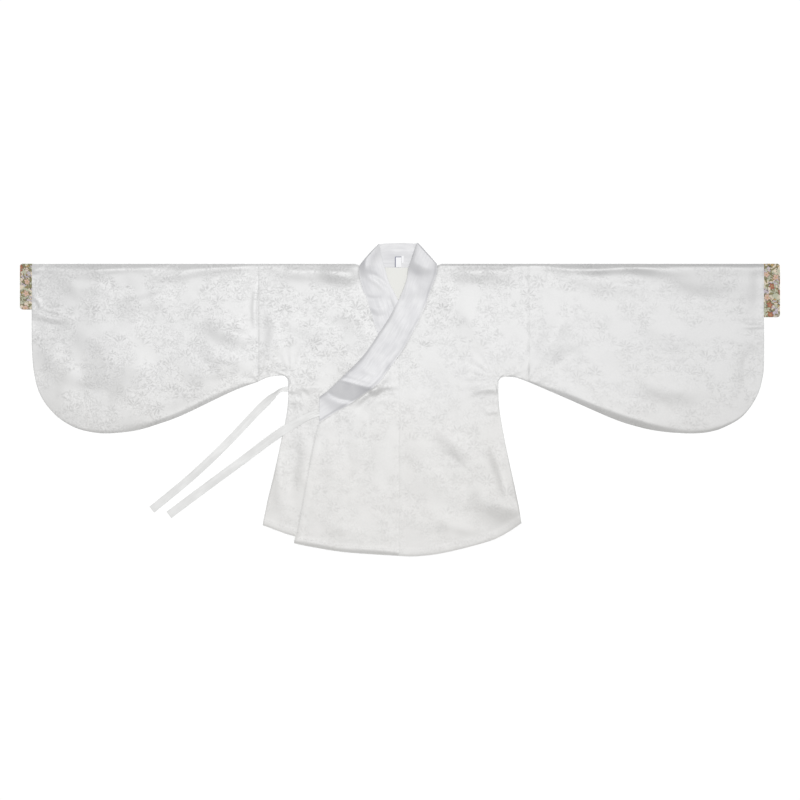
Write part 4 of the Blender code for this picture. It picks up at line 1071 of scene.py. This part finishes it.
CREASES_BAND_INNER = [
    Crease([(-52, 380), (-78, 335), (-84, 285)], 4.2, 20, 10),
    Crease([(-80, 304), (-46, 284), (-18, 258)], -0.8, 6, 7),
    Crease([(-86, 294), (-54, 278), (-24, 250)], 0.8, 7, 8),
    Crease([(-90, 248), (-62, 238), (-32, 242)], -0.7, 6, 7),
    Crease([(-84, 224), (-56, 214), (-26, 220)], 0.7, 6, 8),
    Crease([(-76, 206), (-50, 196), (-22, 204)], -0.6, 6, 8),
    Crease([(-30, 250), (-22, 228), (-14, 200)], -1.0, 7, 8),
]
CREASES_BAND_BACK = [
    Crease([(22, 372), (34, 350), (42, 312)], -0.7, 8, 8),
    Crease([(-60, 350), (10, 351), (80, 350)], 1.2, 16, 14),
]
SWELLS_BAND = [Swell(46, 0.35, 61.0), Swell(17, 0.12, 67.0)]

# Plain satin: smooth polyester with a cool lavender cast, about as glossy as the jacquard, with faint
# streaks along its weft. Its yarns are too fine to show, so the streaks are drawn 4 mm wide.
SATIN_PALE = "#C4C4C6"
SATIN_GREY = "#BBBBBE"
lavender_satin, tree, shader = new_material("lavender_white_satin")
cut_mm = cut_in_mm(tree)
streak_map = add_node(tree, "Mapping", {"Vector": cut_mm, "Scale": (1 / 4.0, 1 / 40.0, 1.0)})
streaks = add_node(tree, "TexNoise", {"Vector": streak_map, "Scale": 1.0, "Detail": 3.0})
clouds = add_node(tree, "TexNoise", {"Vector": cut_mm, "Scale": 1 / 40.0, "Detail": 2.0})
clouds = add_node(tree, "Math", {0: clouds.outputs["Fac"], 1: 0.8}, operation="MULTIPLY")
satin_drift = add_node(tree, "Math", {0: streaks.outputs["Fac"], 1: 0.2, 2: clouds}, operation="MULTIPLY_ADD")
satin_mark = add_node(tree, "MapRange", {"Value": satin_drift, "From Min": 0.4, "From Max": 0.6})
satin_colour = add_node(tree, "Mix", {"Factor": satin_mark, 6: linear(SATIN_PALE), 7: linear(SATIN_GREY)},
                        data_type="RGBA")
satin_gloss = add_node(tree, "MapRange", {"Value": streaks.outputs["Fac"], "From Min": 0.3, "From Max": 0.7,
                                          "To Min": 0.34, "To Max": 0.40})
satin_bump = add_node(tree, "Bump", {"Height": satin_drift, "Strength": 0.15, "Distance": 0.0004})
set_inputs(tree, shader, {"Base Color": satin_colour.outputs[2], "Roughness": satin_gloss,
                          "Normal": satin_bump, "IOR": 1.6, "Sheen Weight": 0.05})


def strip(rows):
    """A band through rows of points across it, with its length and width as a UV map."""
    count, across = rows.shape[0] - 1, rows.shape[1] - 1
    reached = reach_along(rows[:, across // 2])
    width = np.linalg.norm(rows[:, -1] - rows[:, 0], axis=1)
    band = bmesh.new()
    bmesh.ops.create_grid(band, x_segments=count, y_segments=across, size=1.0)
    cut = band.loops.layers.uv.new("cut")
    for face in band.faces:
        for loop in face.loops:
            along = round((loop.vert.co.x + 1.0) / 2 * count)
            over = (loop.vert.co.y + 1.0) / 2
            loop[cut].uv = (width[along] * over * MM, reached[along] * MM)
    for vert in band.verts:
        along = round((vert.co.x + 1.0) / 2 * count)
        vert.co = Vector(rows[along, round((vert.co.y + 1.0) / 2 * across)]) * MM
    return band, reached[-1]


def across_band(seam, free):
    """Level rows of points from the band's sewn edge, which reaches over the cloth, to its free edge."""
    over = (free - seam) / np.linalg.norm(free - seam, axis=1)[:, None] * BAND_OVER_EDGE
    shares = np.linspace(0.0, 1.0, BAND_ACROSS + 1)[None, :, None]
    return (seam - over)[:, None] * (1.0 - shares) + free[:, None] * shares


def stretch(seam_points, free_points, height):
    """Rows of one stretch of the band, at the heights that a function gives."""
    flat = across_band(curve(seam_points, BAND_STEPS), curve(free_points, BAND_STEPS))
    return np.dstack([flat, height(flat.reshape(-1, 2)).reshape(flat.shape[:2])])


def band_height(middle, seam_points, free_points, creases, puff, calm_below):
    """Height function of a stretch: crowned across, puffed near the neck, creased and swelled.

    Under the other front, from calm_below down, it lies flat."""
    seam_line, free_line = curve(seam_points), curve(free_points)
    neck = (seam_line[0] + free_line[0]) / 2

    def height(places):
        to_edge = np.minimum(near_path(places, seam_line)[0], near_path(places, free_line)[0])
        lift = puff * np.exp(-(np.hypot(*(places - neck).T) / NECK_PUFF_REACH) ** 2)
        form = (BAND_CROWN * (1.0 - np.exp(-to_edge / BAND_CROWN_REACH)) + lift + creased(places, creases)
                + swelled(places, SWELLS_BAND))
        return middle + form * smooth_step((places[:, 1] - calm_below) / 40.0)
    return height


def outer_band_height(places):
    """The outer stretch with its crosswise fold, its drawn-in seam and its bent free edge."""
    bent = smooth_step((BAND_BEND_TOP - places[:, 1]) / BAND_BEND_RUN)
    edge = BAND_FOLD_DROP * bent * np.exp(-(near_path(places, curve(BAND_FREE_OUTER))[0] / DIP_REACH) ** 2)
    seam = BAND_SEAM_DROP * np.exp(-(near_path(places, curve(NECK_OUTER))[0] / DIP_REACH) ** 2)
    return plain_outer_height(places) + buckled(places) - edge - seam


def neck_turn(seam, free, bottom, top, side):
    """Rows of the turn at a neck point, from the back stretch up to the front one."""
    axis = (free - seam) / np.linalg.norm(free - seam)
    out = np.array([axis[1], -axis[0]]) * side
    flat = across_band(np.array([seam + axis * NECK_TURN_INSET]), np.array([free]))[0]
    low, high = bottom(flat), top(flat)
    rows = []
    for angle in np.linspace(0.0, math.pi, NECK_TURNS + 1)[1:-1]:
        radius = (high - low) / 2
        level = flat + out * (radius * math.sin(angle) * NECK_TURN_BULGE)[:, None]
        rows.append(np.column_stack([level, low + radius * (1.0 - math.cos(angle))]))
    return np.array(rows)


def back_band_height(places):
    away = np.min([near_path(places, curve(line))[0] for line in (NECK_BACK, BAND_FREE_BACK)], axis=0)
    return (BAND_BACK_MIDDLE + BAND_BACK_CROWN * (1.0 - np.exp(-away / BAND_CROWN_REACH))
            + creased(places, CREASES_BAND_BACK) + 0.5 * swelled(places, SWELLS_BAND))


plain_outer_height = band_height(BAND_OUTER_MIDDLE, NECK_OUTER, BAND_FREE_OUTER, CREASES_BAND_OUTER,
                                 puff=2.2, calm_below=-200.0)
inner_height = band_height(BAND_INNER_MIDDLE, NECK_INNER, BAND_FREE_INNER, CREASES_BAND_INNER,
                           puff=1.2, calm_below=150.0)
outer_rows = stretch(NECK_OUTER, BAND_FREE_OUTER, outer_band_height)
back_rows = stretch(NECK_BACK, BAND_FREE_BACK, back_band_height)
inner_rows = stretch(NECK_INNER, BAND_FREE_INNER, inner_height)
left_turn = neck_turn(np.array(NECK_OUTER[0]), np.array(BAND_FREE_OUTER[0]),
                      back_band_height, outer_band_height, side=1)
right_turn = neck_turn(np.array(NECK_INNER[0]), np.array(BAND_FREE_INNER[0]),
                       back_band_height, inner_height, side=-1)
band, band_length = strip(np.concatenate([
    outer_rows[::-1], left_turn[::-1], back_rows, right_turn, inner_rows]))
collar = settle("collar_band", band, [lavender_satin], BAND_WALL, "collar")

# ---------------------------------------------------------------- ties
# Two narrow ties of a whiter satin, each a folded strip stitched shut and 18 to 19 mm wide. One is caught
# in the right side seam under the arm, drawn narrow and leaning a little where it leaves it; the other is
# gathered into the end of the collar band and crosses the right front.
TieRow = namedtuple("TieRow", "x y width middle turn")
TIE_WALL = 0.9
TIE_ACROSS = 10
TIE_STEPS = 8               # rows between two points of a tie
TIE_GATHERED = 14.0         # rows over which its gathers fade
TIE_PLEATS = 2.5            # pleats across a tie where it is gathered
TIE_CROWN = 0.25
TIE_LOWEST = 0.55           # height of a tie's middle where it lies on the table
TIE_SIDE = [
    TieRow(-262.0, 25.0, 12.0, 2.0, 0), TieRow(-275.0, 24.5, 9.0, 2.4, 4),
    TieRow(-284.5, 21.5, 7.6, 2.4, 8), TieRow(-294.0, 14.0, 9.2, 2.2, 9),
    TieRow(-306.0, 3.5, 15.4, 1.8, 5), TieRow(-322.5, -12.0, 18.0, 1.4, 2),
    TieRow(-341.5, -31.0, 18.0, 0.9, 0), TieRow(-398.0, -91.0, 18.0, 0.6, 0),
    TieRow(-455.0, -147.5, 18.0, 1.2, -4), TieRow(-512.0, -198.5, 18.0, 0.7, 0),
    TieRow(-588.0, -261.0, 18.0, 0.6, 0),
]
TIE_FRONT = [
    TieRow(-191.0, -30.5, 18.0, 5.0, 0), TieRow(-215.5, -39.0, 17.0, 5.0, 3),
    TieRow(-244.0, -54.5, 18.0, 4.6, -3), TieRow(-279.0, -75.0, 19.0, 4.2, 0),
    TieRow(-302.0, -91.0, 19.0, 3.5, 0), TieRow(-322.0, -105.5, 19.0, 2.6, 0),
    TieRow(-369.0, -141.0, 19.0, 1.3, 2), TieRow(-417.0, -176.5, 19.0, 1.2, -3),
    TieRow(-474.0, -218.5, 19.0, 0.7, 0), TieRow(-547.5, -273.5, 19.0, 0.6, 0),
]


# Tie satin: the same smooth polyester, from a whiter bolt without the lavender cast.
TIE_PALE = "#CCCCCB"
TIE_GREY = "#C4C4C3"
white_satin = lavender_satin.copy()
white_satin.name = "white_satin"
set_inputs(white_satin.node_tree, white_satin.node_tree.nodes[satin_colour.name],
           {6: linear(TIE_PALE), 7: linear(TIE_GREY)})


def tie(name, node, rows, gather):
    """A flat tie through its rows; it turns about its own line, and its first stretch is gathered."""
    line = np.hstack([curve([(row.x, row.y) for row in rows], TIE_STEPS),
                      curve([(row.middle, row.turn) for row in rows], TIE_STEPS),
                      curve([(row.width, 0.0) for row in rows], TIE_STEPS)[:, :1]])
    across = np.linspace(-1.0, 1.0, TIE_ACROSS + 1)
    made = []
    for index, (x, y, middle, turn, width) in enumerate(line):
        ahead = line[min(index + 1, len(line) - 1), :2] - line[max(index - 1, 0), :2]
        over = np.array([-ahead[1], ahead[0]]) / np.hypot(*ahead)
        turn = math.radians(turn)
        pleats = gather * max(0.0, 1.0 - index / TIE_GATHERED) * np.sin(TIE_PLEATS * math.pi * (across + 1.0))
        level = np.array([x, y]) + over * (across * width / 2 * math.cos(turn))[:, None]
        rise = across * width / 2 * math.sin(turn) + pleats + TIE_CROWN * (1.0 - across ** 2)
        made.append(np.column_stack([level, np.maximum(middle + rise, TIE_LOWEST)]))
    band, length = strip(np.array(made))
    piece = settle(name, band, [white_satin], TIE_WALL, node)


tie("tie_side_cloth", "tie_side", TIE_SIDE, gather=0.25)
tie("tie_front_cloth", "tie_front", TIE_FRONT, gather=0.35)

# ---------------------------------------------------------------- label and size tab
# A bare woven tag and a narrow tab beside it, both folded from white polyester tape and caught in the
# back seam of the band.
LABEL_SIZE = (15.0, 25.0)
LABEL_PLACE = (-4.5, 326.0)
SIZE_TAB_SIZE = (5.0, 17.0)
SIZE_TAB_PLACE = (6.5, 331.5)
LABEL_MIDDLE = 2.6
TAG_WALL = 0.5
TAG_CURL = 0.4              # how much its two long edges stand up

# Label tape: dense white polyester taffeta, matt, with ribs across it. Real ones are too fine to show, so
# they are drawn 2 mm apart. A painted shadow in slate lies down the tag's left side and along its top.
TAPE_WHITE = "#F1F1F3"
TAG_SHADOW_SLATE = "#74758A"
SHADOW_LEFT = -9.9          # the painted shadow lies left of this,
SHADOW_TOP = 336.8          # and above this as far as the tag's right side
SHADOW_RIGHT = LABEL_PLACE[0] + LABEL_SIZE[0] / 2 + 0.5
RIB_SCALE = 1000.0 / 6.3    # of a wave texture, whose bands then lie 2 mm apart
label_tape, tree, shader = new_material("white_label_tape")
cut_map = add_node(tree, "UVMap", uv_map="cut")
ribs = add_node(tree, "TexWave", {"Vector": cut_map.outputs["UV"], "Scale": RIB_SCALE}, wave_type="BANDS",
                bands_direction="Y")
rib_tone = add_node(tree, "MapRange", {"Value": ribs.outputs["Fac"], "To Min": 0.95, "To Max": 1.0})
rib_colour = add_node(tree, "VectorMath", {0: linear(TAPE_WHITE)[:3], "Scale": rib_tone}, operation="SCALE")
# Painted shadow: slate down the tag's left side and along its top.
tape_place = add_node(tree, "TexCoord")
tape_xy = add_node(tree, "SeparateXYZ", {0: tape_place.outputs["Object"]})
on_tag = add_node(tree, "Math", {0: tape_xy, 1: SHADOW_RIGHT * MM}, operation="LESS_THAN")
border = add_node(tree, "Math", {0: tape_xy.outputs[1], 1: SHADOW_TOP * MM}, operation="GREATER_THAN")
border = add_node(tree, "Math", {0: border, 1: on_tag}, operation="MULTIPLY")
beside = add_node(tree, "Math", {0: tape_xy, 1: SHADOW_LEFT * MM}, operation="LESS_THAN")
border = add_node(tree, "Math", {0: border, 1: beside}, operation="MAXIMUM")
tape_colour = add_node(tree, "Mix", {"Factor": border, 6: rib_colour, 7: linear(TAG_SHADOW_SLATE)}, data_type="RGBA")
rib_bump = add_node(tree, "Bump", {"Height": ribs.outputs["Fac"], "Strength": 0.4, "Distance": 0.0002})
set_inputs(tree, shader, {"Base Color": tape_colour.outputs[2], "Roughness": 0.6, "Normal": rib_bump})


def tag(name, node, size, centre, arch):
    """A small tape that stands off the band in a shallow arch."""
    across, up = np.meshgrid(np.linspace(0.5, -0.5, 7), np.linspace(0.0, 1.0, 13))
    rise = arch * np.sin(math.pi * np.minimum(1.0, up * 1.15)) + TAG_CURL * across ** 2
    rows = np.dstack([centre[0] + size[0] * across, centre[1] + size[1] * (up - 0.5), LABEL_MIDDLE + rise])
    settle(name, strip(rows)[0], [label_tape], TAG_WALL, node)


tag("label_cloth", "label", LABEL_SIZE, LABEL_PLACE, arch=1.2)
tag("size_tab_cloth", "size_tab", SIZE_TAB_SIZE, SIZE_TAB_PLACE, arch=0.7)

# ---------------------------------------------------------------- hand stitches
# Slip stitches of white silk thread hold the folded edge of the band to both fronts, and the turned hems
# and the free edge of the outer overlap. Each shows as one short float along its line.
STITCH_LENGTH = 3.2
STITCH_WIDTH = 0.6
STITCH_STEP = 6.6
HEM_STITCH_UP = np.array((0.0, 15.0))       # from the hem's edge to its stitches
EDGE_STITCH_IN = np.array((3.0, 0.0))       # and from the outer overlap's free edge

# Silk sewing thread: three strands twisted hard, softly glossy. Its white is painted a little greyer than the
# cloth it sinks in, as painted shade in the dimple of each stitch.
THREAD_PAINTED_SHADE_GREY = "#B4B4B8"
silk_thread, tree, shader = new_material("white_silk_thread")
set_inputs(tree, shader, {"Base Color": linear(THREAD_PAINTED_SHADE_GREY), "Roughness": 0.45, "IOR": 1.5})


thread = bmesh.new()
# Each row of stitches: its line, the height of the cloth's middle under it, and that cloth's wall. The
# rows on the right front and the inner band stop where the left front covers them.
for line, height, wall in (
        (curve(NECK_OUTER), outer_band_height, BAND_WALL),
        (curve(NECK_INNER[:9]), inner_height, BAND_WALL),
        (curve(HEM_FRONT_LEFT) + HEM_STITCH_UP, left_front_height, CLOTH_WALL),
        (curve(HEM_OUTER) + HEM_STITCH_UP, outer_overlap_height, CLOTH_WALL),
        (curve(HEM_FRONT_RIGHT)[:14] + HEM_STITCH_UP, right_front_height, CLOTH_WALL),
        (curve(OUTER_FREE_EDGE)[2:] + EDGE_STITCH_IN, outer_overlap_height, CLOTH_WALL)):
    marks = np.arange(STITCH_STEP / 2, reach_along(line)[-1] - STITCH_STEP / 2, STITCH_STEP)
    places = points_along(line, marks)
    ahead = points_along(line, marks + 1.0) - places
    for (x, y), (over, up), level in zip(places, ahead, height(places) + wall / 2):
        lay = Matrix.Translation(Vector((x, y, level)) * MM) @ Matrix.Rotation(math.atan2(up, over), 4, "Z")
        form = Matrix.Diagonal((STITCH_LENGTH / 2 * MM, STITCH_WIDTH / 2 * MM, STITCH_WIDTH / 2 * MM, 1.0))
        bmesh.ops.create_icosphere(thread, subdivisions=1, radius=1.0, matrix=lay @ form)
settle("hand_stitches", thread, [silk_thread], 0.0, None)
